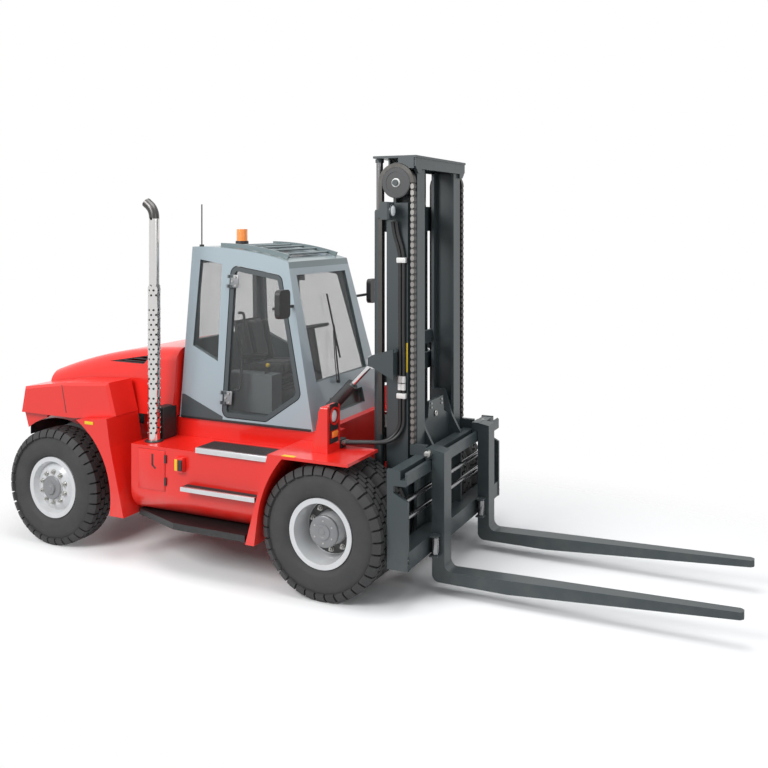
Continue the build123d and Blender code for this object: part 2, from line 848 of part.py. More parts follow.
with BuildPart() as cab_windows:
    for prism in (rear_prism, quarter_prism, roof_prism.part):
        add(glass_layer & prism)
write(cab_windows.part, "cab_windows")

# Left door, hinged at the rear pillar; the right one is its mirror image
door_slab = (cab_outer - cab_form(door_thick)) & through_sides(door_outline, door_gap, door_corner)
left_half = Box(4000, 2000, 4000).moved(Location((0, 1000, 2000)))
door_opening = through_sides(door_outline, door_gap + door_frame, door_corner)
with BuildPart() as door:
    add(door_slab & left_half)
    add(door_opening, mode=Mode.SUBTRACT)
    for height in hinge_heights:
        with BuildSketch(left_hinge.offset(height - 30)):
            Circle(hinge_pin)
        extrude(amount=hinge_length + 60)
        for base in (height - 30, height + hinge_length + running_gap):
            with BuildSketch(left_hinge.offset(base)):
                with Locations((20, -hinge_out + 2)):
                    Rectangle(46, 2 * hinge_out - 4)
                Circle(hinge_pin + 2)
            extrude(amount=25)
with BuildPart() as door_glass:
    add(glass_layer & through_sides(door_outline, door_gap + door_frame + seat_gap, door_corner) & left_half)
write(door.part, "door_left")
write(mirror(door.part, about=Plane.XZ), "door_right")
write(door_glass.part, "door_left_glass")
write(mirror(door_glass.part, about=Plane.XZ), "door_right_glass")

# Operator's seat: pedestal, cushion and backrest
floor_z = cab_low_z + cab_wall
with BuildPart() as seat:
    with Locations((-1250, 0, floor_z + 140)):
        Box(340, 360, 280)
    with BuildSketch(side_plane(250)):
        with BuildLine():
            Polyline((-1440, 1580), (-960, 1600), (-950, 1700), (-1350, 1690), (-1480, 2230))
            Polyline((-1480, 2230), (-1560, 2210), (-1440, 1580))
        make_face()
    extrude(amount=500)
write(seat.part, "seat")

# Controls: side console, dash, steering column and wheel
with BuildPart() as cab_console:
    with Locations((-1190, -cab_half_y + 340, floor_z + 180)):
        Box(520, 170, 360)
    with Locations((-540, 0, floor_z + 140)):
        Box(110, 2 * (cab_half_y - 290), 280)
write(cab_console.part, "cab_console")

column_radius = 40.0
column_foot = (-650.0, floor_z)
column_head = (-790.0, 2070.0)
with BuildPart() as steering_column:
    length = hypot(column_head[0] - column_foot[0], column_head[1] - column_foot[1])
    slant = degrees(atan2(column_foot[0] - column_head[0], column_head[1] - column_foot[1]))
    lift = column_radius * (column_foot[0] - column_head[0]) / length + seat_gap
    with Locations(Location((column_foot[0], 0, column_foot[1] + lift), (0, -slant, 0))):
        Cylinder(column_radius, length - lift, align=(Align.CENTER, Align.CENTER, Align.MIN))
    with Locations(Location((column_head[0], 0, column_head[1]), (0, -slant, 0))):
        Torus(170, 16)
        Box(340, 36, 14)
        Cylinder(50, 40)
write(steering_column.part, "steering_column")

# Exhaust stack on the right rear corner of the cab
stack_x = tank_rear_x + 130
stack_y = -tank_y + 160
with BuildPart() as exhaust_stack:
    with Locations((stack_x, stack_y, tank_top_z)):
        Cylinder(58, 1446, align=(Align.CENTER, Align.CENTER, Align.MIN))
        Cylinder(47, 2060, align=(Align.CENTER, Align.CENTER, Align.MIN))
    with BuildLine() as bend:
        l1 = Line((stack_x, stack_y, tank_top_z + 2060), (stack_x, stack_y, tank_top_z + 2080))
        TangentArc(l1 @ 1, (stack_x - 110, stack_y, tank_top_z + 2200), tangent=(0, 0, 1))
    with BuildSketch(Plane(origin=l1 @ 0, z_dir=(0, 0, 1))):
        Circle(47)
    sweep(path=bend.line)
    with Locations((stack_x, (stack_y - deck_half_y) / 2, 1150)):
        Box(130, -stack_y - deck_half_y, 160)
write(exhaust_stack.part, "exhaust_stack")

# Headlamp towers on the front fenders: sloping back, lamp above and indicator below
lamp_y = body_half_y - 320
lamp_x = -20.0
lamp_z = 1460.0
with BuildPart() as headlamps:
    with BuildSketch(side_plane(lamp_y + 110)):
        Polygon((lamp_x, 1160), (lamp_x, 1550), (lamp_x - 70, 1550), (lamp_x - 150, 1160), align=None)
    extrude(amount=220)
    fillet(headlamps.faces().sort_by(Axis.Z)[-1].edges(), 22)
    with Locations(Location((lamp_x, lamp_y, lamp_z), (0, 90, 0))):
        Cylinder(75, 30)
        Cylinder(62, 16, align=(Align.CENTER, Align.CENTER, Align.MIN), mode=Mode.SUBTRACT)
    with Locations((lamp_x, lamp_y, lamp_z - 150)):
        Box(24, 110, 60)
    mirror(about=Plane.XZ)
write(headlamps.part, "headlamps")

# Mirrors with rounded heads on arms beside the windscreen, and the antenna
mirror_y = cab_half_y + 160
antenna_y = -500.0
antenna_x = -1700.0
with BuildPart() as cab_fittings:
    with Locations((-555, mirror_y, 2370)):
        Box(50, 180, 250)
    fillet(cab_fittings.edges().filter_by(Axis.X), 45)
    with Locations((-618, mirror_y - 272.5, 2330)):
        Box(24, 320, 24, align=(Align.CENTER, Align.MIN, Align.CENTER))
    with Locations((-590, mirror_y + 10, 2330)):
        Box(60, 24, 24)
    mirror(about=Plane.XZ)
    with Locations((antenna_x, antenna_y, 2780)):
        Cylinder(22, 90, align=(Align.CENTER, Align.CENTER, Align.MIN))
        Cylinder(6, 476, align=(Align.CENTER, Align.CENTER, Align.MIN))
    add(cab_outer, mode=Mode.SUBTRACT)
write(cab_fittings.part, "cab_fittings")

# Roof guard: two rails that follow the roof and the bars between them
guard_y = cab_top_half_y - 95
guard_bars = ((-1440, 2858), (-1290, 2853), (-1140, 2840), (-990, 2817), (-850, 2784))
with BuildPart() as roof_guard:
    for y in (guard_y, 20 - guard_y):
        with BuildSketch(side_plane(y)):
            with BuildLine():
                low = ThreePointArc((-1500, 2846), (-1140, 2820), (-760, 2742))
                high = ThreePointArc((-1500, 2886), (-1140, 2862), (-740, 2782))
                Line(low @ 0, high @ 0)
                Line(low @ 1, high @ 1)
            make_face()
        extrude(amount=20)
    for x, z in guard_bars:
        with Locations(Location((x, 0, z), (90, 0, 0))):
            Cylinder(11, 2 * guard_y)
    add(cab_outer, mode=Mode.SUBTRACT)
write(roof_guard.part, "roof_guard")

with BuildPart() as beacon:
    with Locations((-1580, 0, 2840)):
        Cylinder(62, 54, align=(Align.CENTER, Align.CENTER, Align.MIN))
        Cylinder(55, 175, align=(Align.CENTER, Align.CENTER, Align.MIN))
    add(cab_outer, mode=Mode.SUBTRACT)
write(beacon.part, "beacon")

# Outer mast: channels open to the inside, cross members, feet and cylinder seats
foot_gap = (bracket_out - bracket_in) / 2 - running_gap
foot_y = (bracket_in + bracket_out) / 2
with BuildPart() as outer_mast:
    with BuildSketch(Plane.XY.offset(outer_bottom_z)):
        with Locations((outer_rear_x + outer_depth / 2, mast_outer_y - outer_reach / 2)):
            Rectangle(outer_depth, outer_reach)
        with Locations((outer_rear_x + outer_depth / 2, mast_outer_y - outer_web - outer_reach / 2)):
            Rectangle(outer_depth - 2 * outer_flange, outer_reach, mode=Mode.SUBTRACT)
    extrude(amount=outer_top_z - outer_bottom_z)
    for low, high in ((330, 480), (1700, 1850), (outer_top_z - 250, outer_top_z - 20)):
        with Locations((outer_rear_x - 22, 0, low)):
            Box(44, mast_outer_y - 20, high - low, align=(Align.CENTER, Align.MIN, Align.MIN))
    with BuildSketch(side_plane(foot_y + foot_gap)):
        with BuildLine():
            Polyline(
                (pivot_x, pivot_z + 65),
                (outer_rear_x + 5, pivot_z + 120),
                (outer_rear_x + 5, pivot_z - 120),
                (pivot_x, pivot_z - 65),
            )
            ThreePointArc(
                (pivot_x, pivot_z - 65),
                (pivot_x - 65, pivot_z),
                (pivot_x, pivot_z + 65),
            )
        make_face()
        with Locations((pivot_x, pivot_z)):
            Circle(pivot_pin + pin_gap, mode=Mode.SUBTRACT)
    extrude(amount=2 * foot_gap)
    with Locations(((lift_x - lift_barrel + outer_rear_x) / 2, lift_y, lift_base_z - 20)):
        Box(outer_rear_x - lift_x + lift_barrel, 2 * lift_barrel, 40)
    for y in (tilt_bracket_in, tilt_bracket_out):
        with BuildSketch(side_plane(y)):
            Polygon(
                (tilt_mast_x - 40, tilt_mast_z + 34),
                (tilt_mast_x, tilt_mast_z + 60),
                (outer_rear_x + 120, tilt_mast_z + 120),
                (outer_rear_x + 120, tilt_mast_z - 140),
                (tilt_mast_x, tilt_mast_z - 42),
                (tilt_mast_x - 40, tilt_mast_z - 34),
                align=None,
            )
        extrude(amount=lug_plate)
    with BuildSketch(Plane.XY.offset(anchor_z)):
        with Locations(((anchor_rear_x + outer_rear_x) / 2, chain_y + 1)):
            Rectangle(outer_rear_x - anchor_rear_x, chain_width + 36)
        with Locations((chain_rear_x, chain_y)):
            Rectangle(chain_depth + 16, chain_width + 12, mode=Mode.SUBTRACT)
    extrude(amount=70)
    with Locations((outer_rear_x + 90, (mast_outer_y + tilt_y + 40) / 2, tilt_mast_z - 10)):
        Box(50, tilt_y + 40 - mast_outer_y, 200)
    with Locations(Location((tilt_mast_x, tilt_y, tilt_mast_z), (90, 0, 0))):
        Cylinder(tilt_pin, tilt_eye_width + 2 * lug_gap + 2 * lug_plate)
    mirror(about=Plane.XZ)
write(outer_mast.part, "outer_mast")

# Work lamps on arms beside the outer mast
work_lamp_z = outer_top_z - 70
with BuildPart() as work_lamps:
    with Locations((outer_rear_x + 40, mast_outer_y + seat_gap, work_lamp_z)):
        Box(60, 140, 60, align=(Align.CENTER, Align.MIN, Align.CENTER))
    with Locations((outer_rear_x + 75, mast_outer_y + 140, work_lamp_z)):
        Box(80, 130, 150)
    fillet(work_lamps.faces().sort_by(Axis.X)[-1].edges(), 18)
    with Locations(Location((outer_rear_x + 115, mast_outer_y + 140, work_lamp_z), (0, 90, 0))):
        Cylinder(56, 24)
    mirror(about=Plane.XZ)
write(work_lamps.part, "work_lamps")

# Lift cylinder barrels, bored for their rods
with BuildPart() as lift_barrels:
    with Locations((lift_x, lift_y, lift_base_z)):
        Cylinder(lift_barrel, lift_barrel_top_z - lift_base_z, align=(Align.CENTER, Align.CENTER, Align.MIN))
    with Locations((lift_x, lift_y, lift_base_z + 60)):
        Cylinder(
            lift_rod + 1,
            lift_barrel_top_z - lift_base_z,
            align=(Align.CENTER, Align.CENTER, Align.MIN),
            mode=Mode.SUBTRACT,
        )
    mirror(about=Plane.XZ)
write(lift_barrels.part, "lift_barrels")

# Inner mast: beams inside the channels, cross members, crosshead and sheave pins
with BuildPart() as inner_mast:
    with BuildSketch(Plane.XY.offset(inner_bottom_z)):
        for x in (inner_rear_x + inner_flange / 2, inner_front_x - inner_flange / 2):
            with Locations((x, (inner_flange_in_y + inner_flange_out_y) / 2)):
                Rectangle(inner_flange, inner_flange_out_y - inner_flange_in_y)
        with Locations(((inner_rear_x + inner_front_x) / 2, inner_web_y - inner_web / 2)):
            Rectangle(inner_depth, inner_web)
    extrude(amount=inner_top_z - inner_bottom_z)
    for low, high in ((400, 560), (1950, 2070)):
        with Locations((inner_rear_x - 16, 0, low)):
            Box(34, inner_web_y, high - low, align=(Align.CENTER, Align.MIN, Align.MIN))
    with Locations(((crosshead_rear_x + crosshead_front_x) / 2, 0, crosshead_top_z - crosshead_plate)):
        Box(
            crosshead_front_x - crosshead_rear_x,
            crosshead_half_y,
            crosshead_plate,
            align=(Align.CENTER, Align.MIN, Align.MIN),
        )
    with BuildSketch(Plane.YZ.offset(crosshead_front_x - 22)):
        Polygon(
            (0, crosshead_top_z - 10),
            (crosshead_half_y - 8, crosshead_top_z - 10),
            (crosshead_half_y - 8, inner_top_z + 20),
            (crosshead_half_y - 70, inner_top_z - 40),
            (crosshead_half_y - 140, inner_top_z - 40),
            (crosshead_half_y - 140, inner_top_z),
            (0, inner_top_z),
            align=None,
        )
    extrude(amount=16)
    with BuildSketch(Plane.YZ.offset(inner_rear_x - 30)):
        with Locations((0, (inner_top_z + crosshead_top_z - 10) / 2)):
            Rectangle(2 * crosshead_half_y - 100, crosshead_top_z - 10 - inner_top_z)
    extrude(amount=16)
    with BuildSketch(side_plane(crosshead_half_y)):
        with Locations(((sheave_x + crosshead_front_x) / 2, crosshead_top_z - 60)):
            Rectangle(crosshead_front_x - sheave_x - 40, 100)
        with Locations((sheave_x, sheave_z)):
            Circle(sheave_radius + chain_depth + running_gap, mode=Mode.SUBTRACT)
    extrude(amount=16)
    with Locations((lift_x, lift_y, crosshead_top_z - crosshead_plate)):
        Cylinder(lift_rod + 8, 30, align=(Align.CENTER, Align.CENTER, Align.MAX))
    with Locations((sheave_x, (inner_web_y + chain_y + chain_width) / 2, sheave_z)):
        Cylinder(26, chain_y + chain_width - inner_web_y, rotation=(90, 0, 0))
    with Locations((sheave_x, (inner_flange_out_y + inner_web_y) / 2, (sheave_z + inner_top_z) / 2)):
        Box(150, inner_flange_out_y - inner_web_y, inner_top_z - sheave_z + 120)
    mirror(about=Plane.XZ)
write(inner_mast.part, "inner_mast")

with BuildPart() as lift_rods:
    rod_top = crosshead_top_z - crosshead_plate - 30
    with Locations((lift_x, lift_y, rod_top)):
        Cylinder(lift_rod, lift_stroke + 700, align=(Align.CENTER, Align.CENTER, Align.MAX))
    mirror(about=Plane.XZ)
write(lift_rods.part, "lift_rods")

with BuildPart() as chain_sheaves:
    with Locations(Location((sheave_x, chain_y, sheave_z), (90, 0, 0))):
        Cylinder(sheave_radius - 1, chain_width)
        Cylinder(26 + pin_gap, 2 * chain_width, mode=Mode.SUBTRACT)
    mirror(about=Plane.XZ)
write(chain_sheaves.part, "chain_sheaves")

# Lift chains: the front runs down to the carriage, and the rear runs over the sheaves
with BuildPart() as chain_front_runs:
    links = int((sheave_z - seat_gap - chain_low_z) / chain_pitch)
    pitch = (sheave_z - seat_gap - chain_low_z) / links
    with BuildSketch(side_plane(chain_y + chain_width / 2)):
        for link in range(links):
            with Locations((chain_x, chain_low_z + link * pitch)):
                Polygon(
                    (-chain_depth / 2 + chain_waist, 0),
                    (chain_depth / 2 - chain_waist, 0),
                    (chain_depth / 2, pitch / 4),
                    (chain_depth / 2, 3 * pitch / 4),
                    (chain_depth / 2 - chain_waist, pitch),
                    (-chain_depth / 2 + chain_waist, pitch),
                    (-chain_depth / 2, 3 * pitch / 4),
                    (-chain_depth / 2, pitch / 4),
                    align=None,
                )
    extrude(amount=chain_width)
    mirror(about=Plane.XZ)
write(chain_front_runs.part, "chain_front_runs")

chain_rear_end_z = sheave_z - (sheave_z + lift_stroke - anchor_z) + 40
with BuildPart() as chain_rear_runs:
    with BuildSketch(side_plane(chain_y + chain_width / 2)):
        with Locations((sheave_x, sheave_z)):
            Circle(sheave_radius + chain_depth)
            Circle(sheave_radius, mode=Mode.SUBTRACT)
            with Locations((0, -sheave_radius - chain_depth)):
                Rectangle(
                    2 * (sheave_radius + chain_depth),
                    2 * (sheave_radius + chain_depth),
                    mode=Mode.SUBTRACT,
                )
        with Locations((chain_rear_x, (sheave_z + chain_rear_end_z) / 2)):
            Rectangle(chain_depth, sheave_z - chain_rear_end_z)
    extrude(amount=chain_width)
    mirror(about=Plane.XZ)
write(chain_rear_runs.part, "chain_rear_runs")

# Carriage: beams, end plates, roller uprights, centre plate and chain lugs
upright_out = inner_flange_in_y - running_gap
upright_plate = 35.0
top_front_x = carriage_rear_x + top_beam_depth
rail_front_x = fork_rear_x - fork_clear
rail_low_edge_z = beam_top_z - top_beam_height
lip_top_z = beam_top_z - 10
end_rear_x = carriage_rear_x - end_overhang
plate_x = inner_front_x - 60
roller_heights = (1330.0, 560.0)
with BuildPart() as carriage_frame:
    with BuildSketch(side_plane(upright_out)):
        Polygon(
            (inner_rear_x + 10, beam_top_z + 395),
            (inner_front_x - 75, beam_top_z + 395),
            (inner_front_x, beam_top_z + 155),
            (carriage_rear_x + 60, beam_top_z),
            (carriage_rear_x + 60, beam_low_z + 20),
            (inner_rear_x + 60, beam_low_z + 60),
            (inner_rear_x + 10, beam_low_z + 200),
            align=None,
        )
    extrude(amount=upright_plate)
    for low, height, depth in (
        (beam_low_z, low_beam_height, rail_front_x - carriage_rear_x),
        (rail_low_edge_z, top_beam_height, top_beam_depth),
        (rail_low_edge_z, 50, rail_front_x - carriage_rear_x),
    ):
        with Locations((carriage_rear_x, 0, low)):
            Box(depth, carriage_half_y, height, align=(Align.MIN, Align.MIN, Align.MIN))
    with Locations((rail_front_x, 0, rail_low_edge_z)):
        Box(rail_lip, carriage_half_y, lip_top_z - rail_low_edge_z, align=(Align.MAX, Align.MIN, Align.MIN))
    rail_edges = carriage_frame.edges().filter_by(Axis.Y).group_by(Axis.X)[-1]
    chamfer(rail_edges.filter_by_position(Axis.Z, rail_low_edge_z - 1, lip_top_z + 1), 12)
    with BuildSketch(side_plane(carriage_half_y)):
        Polygon(
            (end_rear_x, beam_low_z),
            (end_rear_x, beam_top_z + 5),
            (top_front_x, beam_top_z + 5),
            (top_front_x, rail_low_edge_z),
            (end_rear_x + 55, rail_low_edge_z),
            (end_rear_x + 55, rail_low_edge_z - 55),
            (rail_front_x + 6, rail_low_edge_z - 120),
            (rail_front_x + 6, beam_low_z),
            align=None,
        )
    extrude(amount=end_plate)
    with BuildSketch(Plane.YZ.offset(plate_x)):
        Polygon(
            (0, rail_low_edge_z),
            (upright_out - 10, rail_low_edge_z),
            (upright_out - 10, beam_top_z + 165),
            (190, beam_top_z + 225),
            (165, beam_top_z + 365),
            (0, beam_top_z + 365),
            align=None,
        )
    extrude(amount=25)
    with Locations((carriage_rear_x + 20, chain_y, beam_top_z - 10)):
        Box(150, 44, chain_low_z - beam_top_z + 10 - seat_gap, align=(Align.CENTER, Align.CENTER, Align.MIN))
    for z in roller_heights:
        with Locations(Location(((inner_rear_x + inner_front_x) / 2, upright_out, z), (90, 0, 0))):
            Cylinder(30, 140)
    mirror(about=Plane.XZ)
write(carriage_frame.part, "carriage_frame")

# Round bars across the carriage behind the forks
with BuildPart() as carriage_bars:
    for z in bar_heights:
        with Locations(Location((rail_front_x - 45, 0, z), (90, 0, 0))):
            Cylinder(bar_radius, 2 * (carriage_half_y - end_plate - seat_gap))
write(carriage_bars.part, "carriage_bars")

roller_span = inner_depth - 2 * inner_flange
with BuildPart() as carriage_rollers:
    for z in roller_heights:
        with Locations(Location(((inner_rear_x + inner_front_x) / 2, upright_out + 40, z), (90, 0, 0))):
            Cylinder(roller_span / 2 - seat_gap, 64)
            Cylinder(30 + pin_gap, 80, mode=Mode.SUBTRACT)
    mirror(about=Plane.XZ)
write(carriage_rollers.part, "carriage_rollers")

# Forks: shank and blade in one bent bar with a hook over the carriage rail
tip_low_z = fork_heel_z + fork_rise
hook_gap = running_gap
with BuildPart() as fork:
    with BuildSketch(side_plane(fork_y + fork_width / 2)):
        with BuildLine():
            front_x = fork_rear_x + fork_thick
            heel_top_z = fork_heel_z + fork_heel_thick
            Polyline(
                (fork_rear_x, beam_top_z + 70),
                (front_x, beam_top_z + 50),
                (front_x, heel_top_z + 60),
            )
            ThreePointArc(
                (front_x, heel_top_z + 60),
                (front_x + 18, heel_top_z + 18),
                (front_x + 60, heel_top_z),
            )
            Polyline(
                (front_x + 60, heel_top_z),
                (fork_tip_x, tip_low_z + fork_tip_thick),
                (fork_tip_x, tip_low_z),
                (fork_flat_x, fork_heel_z),
                (fork_rear_x + 60, fork_heel_z),
            )
            ThreePointArc(
                (fork_rear_x + 60, fork_heel_z),
                (fork_rear_x + 18, fork_heel_z + 18),
                (fork_rear_x, fork_heel_z + 60),
            )
            Line((fork_rear_x, fork_heel_z + 60), (fork_rear_x, beam_top_z + 70))
        make_face()
    extrude(amount=fork_width)
    with BuildSketch(side_plane(fork_y + fork_width / 2)):
        Polygon(
            (fork_rear_x + 10, beam_top_z + 70),
            (fork_rear_x + 10, lip_top_z + seat_gap),
            (rail_front_x - rail_lip - hook_gap, lip_top_z + seat_gap),
            (rail_front_x - rail_lip - hook_gap, beam_top_z - 60),
            (top_front_x + hook_gap, beam_top_z - 60),
            (top_front_x + hook_gap, beam_top_z + 70),
            align=None,
        )
    extrude(amount=fork_width)
    with BuildSketch(Plane.XY):
        for sign in (1, -1):
            Polygon(
                (fork_flat_x, fork_y + sign * fork_width / 2),
                (fork_tip_x + 1, fork_y + sign * fork_tip_width / 2),
                (fork_tip_x + 1, fork_y + sign * fork_width),
                (fork_flat_x, fork_y + sign * fork_width),
                align=None,
            )
    extrude(amount=heel_top_z + fork_rise, mode=Mode.SUBTRACT)
    tip_corners = fork.faces().sort_by(Axis.X)[-1].edges().filter_by(Axis.Z)
    chamfer(tip_corners, 24)
write(fork.part, "fork_left")
write(mirror(fork.part, about=Plane.XZ), "fork_right")

# Tilt cylinders: barrels hinged on the frame, rods reaching to the mast lugs
tilt_length = hypot(tilt_mast_x - tilt_frame_x, tilt_mast_z - tilt_frame_z)
tilt_slope = degrees(atan2(tilt_mast_x - tilt_frame_x, tilt_mast_z - tilt_frame_z))
tilt_plane = Plane(Location((tilt_frame_x, tilt_y, tilt_frame_z), (0, tilt_slope, 0)))
with BuildPart() as tilt_barrels:
    with BuildSketch(tilt_plane.offset(tilt_eye + 10)):
        Circle(tilt_barrel)
    extrude(amount=tilt_barrel_length - tilt_eye - 10)
    with BuildSketch(tilt_plane.offset(tilt_eye + 30)):
        Circle(tilt_rod + 1)
    extrude(amount=tilt_barrel_length, mode=Mode.SUBTRACT)
    with BuildSketch(side_plane(tilt_y + tilt_eye_width / 2)):
        with Locations((tilt_frame_x, tilt_frame_z)):
            Circle(tilt_eye)
        with Locations(Location((tilt_frame_x, tilt_frame_z), (0, 0, 90 - tilt_slope))):
            Rectangle(tilt_eye + 20, tilt_eye, align=(Align.MIN, Align.CENTER))
    extrude(amount=tilt_eye_width)
    with Locations(Location((tilt_frame_x, tilt_y, tilt_frame_z), (90, 0, 0))):
        Cylinder(tilt_pin + pin_gap, 200, mode=Mode.SUBTRACT)
    mirror(about=Plane.XZ)
write(tilt_barrels.part, "tilt_barrels")

tilt_rod_length = 430.0
with BuildPart() as tilt_rods:
    with BuildSketch(tilt_plane.offset(tilt_length - tilt_rod_length)):
        Circle(tilt_rod)
    extrude(amount=tilt_rod_length)
    with BuildSketch(side_plane(tilt_y + tilt_eye_width / 2)):
        with Locations((tilt_mast_x, tilt_mast_z)):
            Circle(tilt_eye + 8)
    extrude(amount=tilt_eye_width)
    with Locations(Location((tilt_mast_x, tilt_y, tilt_mast_z), (90, 0, 0))):
        Cylinder(tilt_pin + tilt_drift, 200, mode=Mode.SUBTRACT)
    mirror(about=Plane.XZ)
write(tilt_rods.part, "tilt_rods")
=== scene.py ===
# %% [markdown]
# # A heavy forklift truck, dressed around its packed frame
# The packed model gives every rigid piece at its real size and place. This lesson keeps those
# pieces, gives each surface a finish made of nodes, and models by hand what a lathe, a press
# or a sewing machine would make on the real truck: tread, chain links, cushions, nuts, hoses.

# %% Load the frame
import json
import math
from contextlib import contextmanager

import bpy
from mathutils import Matrix, Vector


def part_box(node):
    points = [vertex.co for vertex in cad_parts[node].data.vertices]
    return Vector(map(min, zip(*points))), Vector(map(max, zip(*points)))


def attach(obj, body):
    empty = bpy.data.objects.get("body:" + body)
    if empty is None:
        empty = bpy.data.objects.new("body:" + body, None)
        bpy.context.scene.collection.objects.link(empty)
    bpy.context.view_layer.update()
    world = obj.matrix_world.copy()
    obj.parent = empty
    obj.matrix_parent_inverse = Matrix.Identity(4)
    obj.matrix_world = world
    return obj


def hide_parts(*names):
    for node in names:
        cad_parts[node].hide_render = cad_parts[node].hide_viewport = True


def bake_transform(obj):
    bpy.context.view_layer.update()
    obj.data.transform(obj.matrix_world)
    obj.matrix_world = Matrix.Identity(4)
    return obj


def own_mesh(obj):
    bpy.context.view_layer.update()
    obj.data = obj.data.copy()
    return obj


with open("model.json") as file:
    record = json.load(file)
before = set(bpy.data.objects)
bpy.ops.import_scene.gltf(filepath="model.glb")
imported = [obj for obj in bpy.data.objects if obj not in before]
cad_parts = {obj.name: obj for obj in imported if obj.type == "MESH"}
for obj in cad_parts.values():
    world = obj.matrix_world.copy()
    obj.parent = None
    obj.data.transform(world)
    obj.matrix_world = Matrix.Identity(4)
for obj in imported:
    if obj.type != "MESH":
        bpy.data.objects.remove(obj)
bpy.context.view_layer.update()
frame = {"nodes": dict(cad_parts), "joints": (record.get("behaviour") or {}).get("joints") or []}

nodes = frame["nodes"]
axes = {joint["name"]: Vector(joint["pos_m"]) for joint in frame["joints"] if "pos_m" in joint}

# %% [markdown]
# ## The camera
# The photograph was taken level, from about eye height of a person on a ladder, and cropped
# low. A level camera with a small downward shift keeps the mast's edges upright, where a
# tilted one would make them lean.

# %% Camera
PHOTO_SIZE = 768
FOCAL_PIXELS = 912.3
HORIZON_ROW = 222.4
SENSOR = 36.0
CAMERA_PLACE = (3.855, -7.650, 3.082)
CAMERA_HEADING = math.radians(25.604)

bpy.ops.object.camera_add(location=CAMERA_PLACE, rotation=(math.pi / 2, 0, CAMERA_HEADING))
camera = bpy.context.object
camera.data.sensor_width = SENSOR
camera.data.lens = SENSOR * FOCAL_PIXELS / PHOTO_SIZE
camera.data.shift_y = (HORIZON_ROW - PHOTO_SIZE / 2) / PHOTO_SIZE
bpy.context.scene.camera = camera
print("lens", round(camera.data.lens, 2), "shift", round(camera.data.shift_y, 3))

# %% [markdown]
# ## Shader maths in Python
# A finish is easier to read as an expression than as a web of nodes. `Value` wraps one output
# of a node, and each operator adds the Math node that it stands for. The reflected forms are
# there too, so that a plain number may stand on the left.


# %% Value
class Value:
    """One output of a shader node, so that maths on it reads as Python."""

    def __init__(self, web, socket):
        self.web = web
        self.socket = socket

    def math(self, operation, first, second):
        return self.web.node("ShaderNodeMath", {"operation": operation}, {0: first, 1: second})

    def __add__(self, other):
        return self.math("ADD", self, other)

    def __radd__(self, other):
        return self.math("ADD", other, self)

    def __sub__(self, other):
        return self.math("SUBTRACT", self, other)

    def __rsub__(self, other):
        return self.math("SUBTRACT", other, self)

    def __mul__(self, other):
        return self.math("MULTIPLY", self, other)

    def __rmul__(self, other):
        return self.math("MULTIPLY", other, self)


print("operators", [name for name in vars(Value) if name.startswith("__r")])

# %% [markdown]
# `Web` is a node tree with one method that adds any node: its type, its settings and what goes
# into its sockets, each a link or a plain value. It serves the materials and the world alike.


# %% Web
class Web:
    """A node tree with one method that adds any node."""

    def __init__(self, tree):
        self.tree = tree

    def node(self, kind, settings=None, inputs=None, out=0):
        node = self.tree.nodes.new(kind)
        for key, value in (settings or {}).items():
            setattr(node, key, value)
        for key, value in (inputs or {}).items():
            self.feed(node.inputs[key], value)
        return Value(self, node.outputs[out]) if node.outputs else None

    def feed(self, socket, value):
        if isinstance(value, Value):
            self.tree.links.new(value.socket, socket)
        else:
            socket.default_value = value


def rgba(red, green, blue):
    return (red, green, blue, 1.0)


print("node helpers ready")

# %% [markdown]
# A finish is a material with its Principled shader. The methods below are the handful of nodes
# that every finish on this truck is mixed from, each with the inputs that matter here.


# %% Finish
class Finish(Web):
    """A material, its shader and the nodes that the finishes are mixed from."""

    def __init__(self, name):
        self.material = bpy.data.materials.new(name)
        self.material.use_nodes = True
        super().__init__(self.material.node_tree)
        self.shader = self.tree.nodes["Principled BSDF"]
        self.place = self.node("ShaderNodeTexCoord", out="Object")

    def set(self, **inputs):
        for key, value in inputs.items():
            self.feed(self.shader.inputs[key.replace("_", " ").title()], value)
        return self.material

    def noise(self, scale, detail=3.0, roughness=0.5, place=None):
        return self.node(
            "ShaderNodeTexNoise",
            None,
            {"Vector": place or self.place, "Scale": scale, "Detail": detail, "Roughness": roughness},
        )

    def ramp(self, value, low, high):
        """0 below low, 1 above high and a straight rise between them."""
        return self.node(
            "ShaderNodeMapRange", None, {"Value": value, "From Min": low, "From Max": high}
        )

    def mix(self, factor, first, second):
        """Colour from first to second as factor goes from 0 to 1."""
        return self.node(
            "ShaderNodeMix", {"data_type": "RGBA"}, {0: factor, 6: first, 7: second}, out=2
        )

    def axis(self, name):
        return self.node("ShaderNodeSeparateXYZ", None, {0: self.place}, out=name)

    def sine(self, value):
        return self.node("ShaderNodeMath", {"operation": "SINE"}, {0: value})

    def stretched(self, scale):
        """Object coordinates, scaled by a different amount each way."""
        return self.node("ShaderNodeMapping", None, {"Vector": self.place, "Scale": scale})

    def bump(self, height, strength=0.3, distance=0.001):
        return self.node(
            "ShaderNodeBump", None, {"Strength": strength, "Distance": distance, "Height": height}
        )


print("finish helpers ready")

# %% [markdown]
# ## Paint
# The body, cab and mast are sprayed steel. Sprayed paint dries with a faint orange peel and a
# shade that drifts a little over a panel, and dust gathers on it low down. One function makes
# every paint from its colour, its gloss and its clear coat, so the truck stays of one piece.


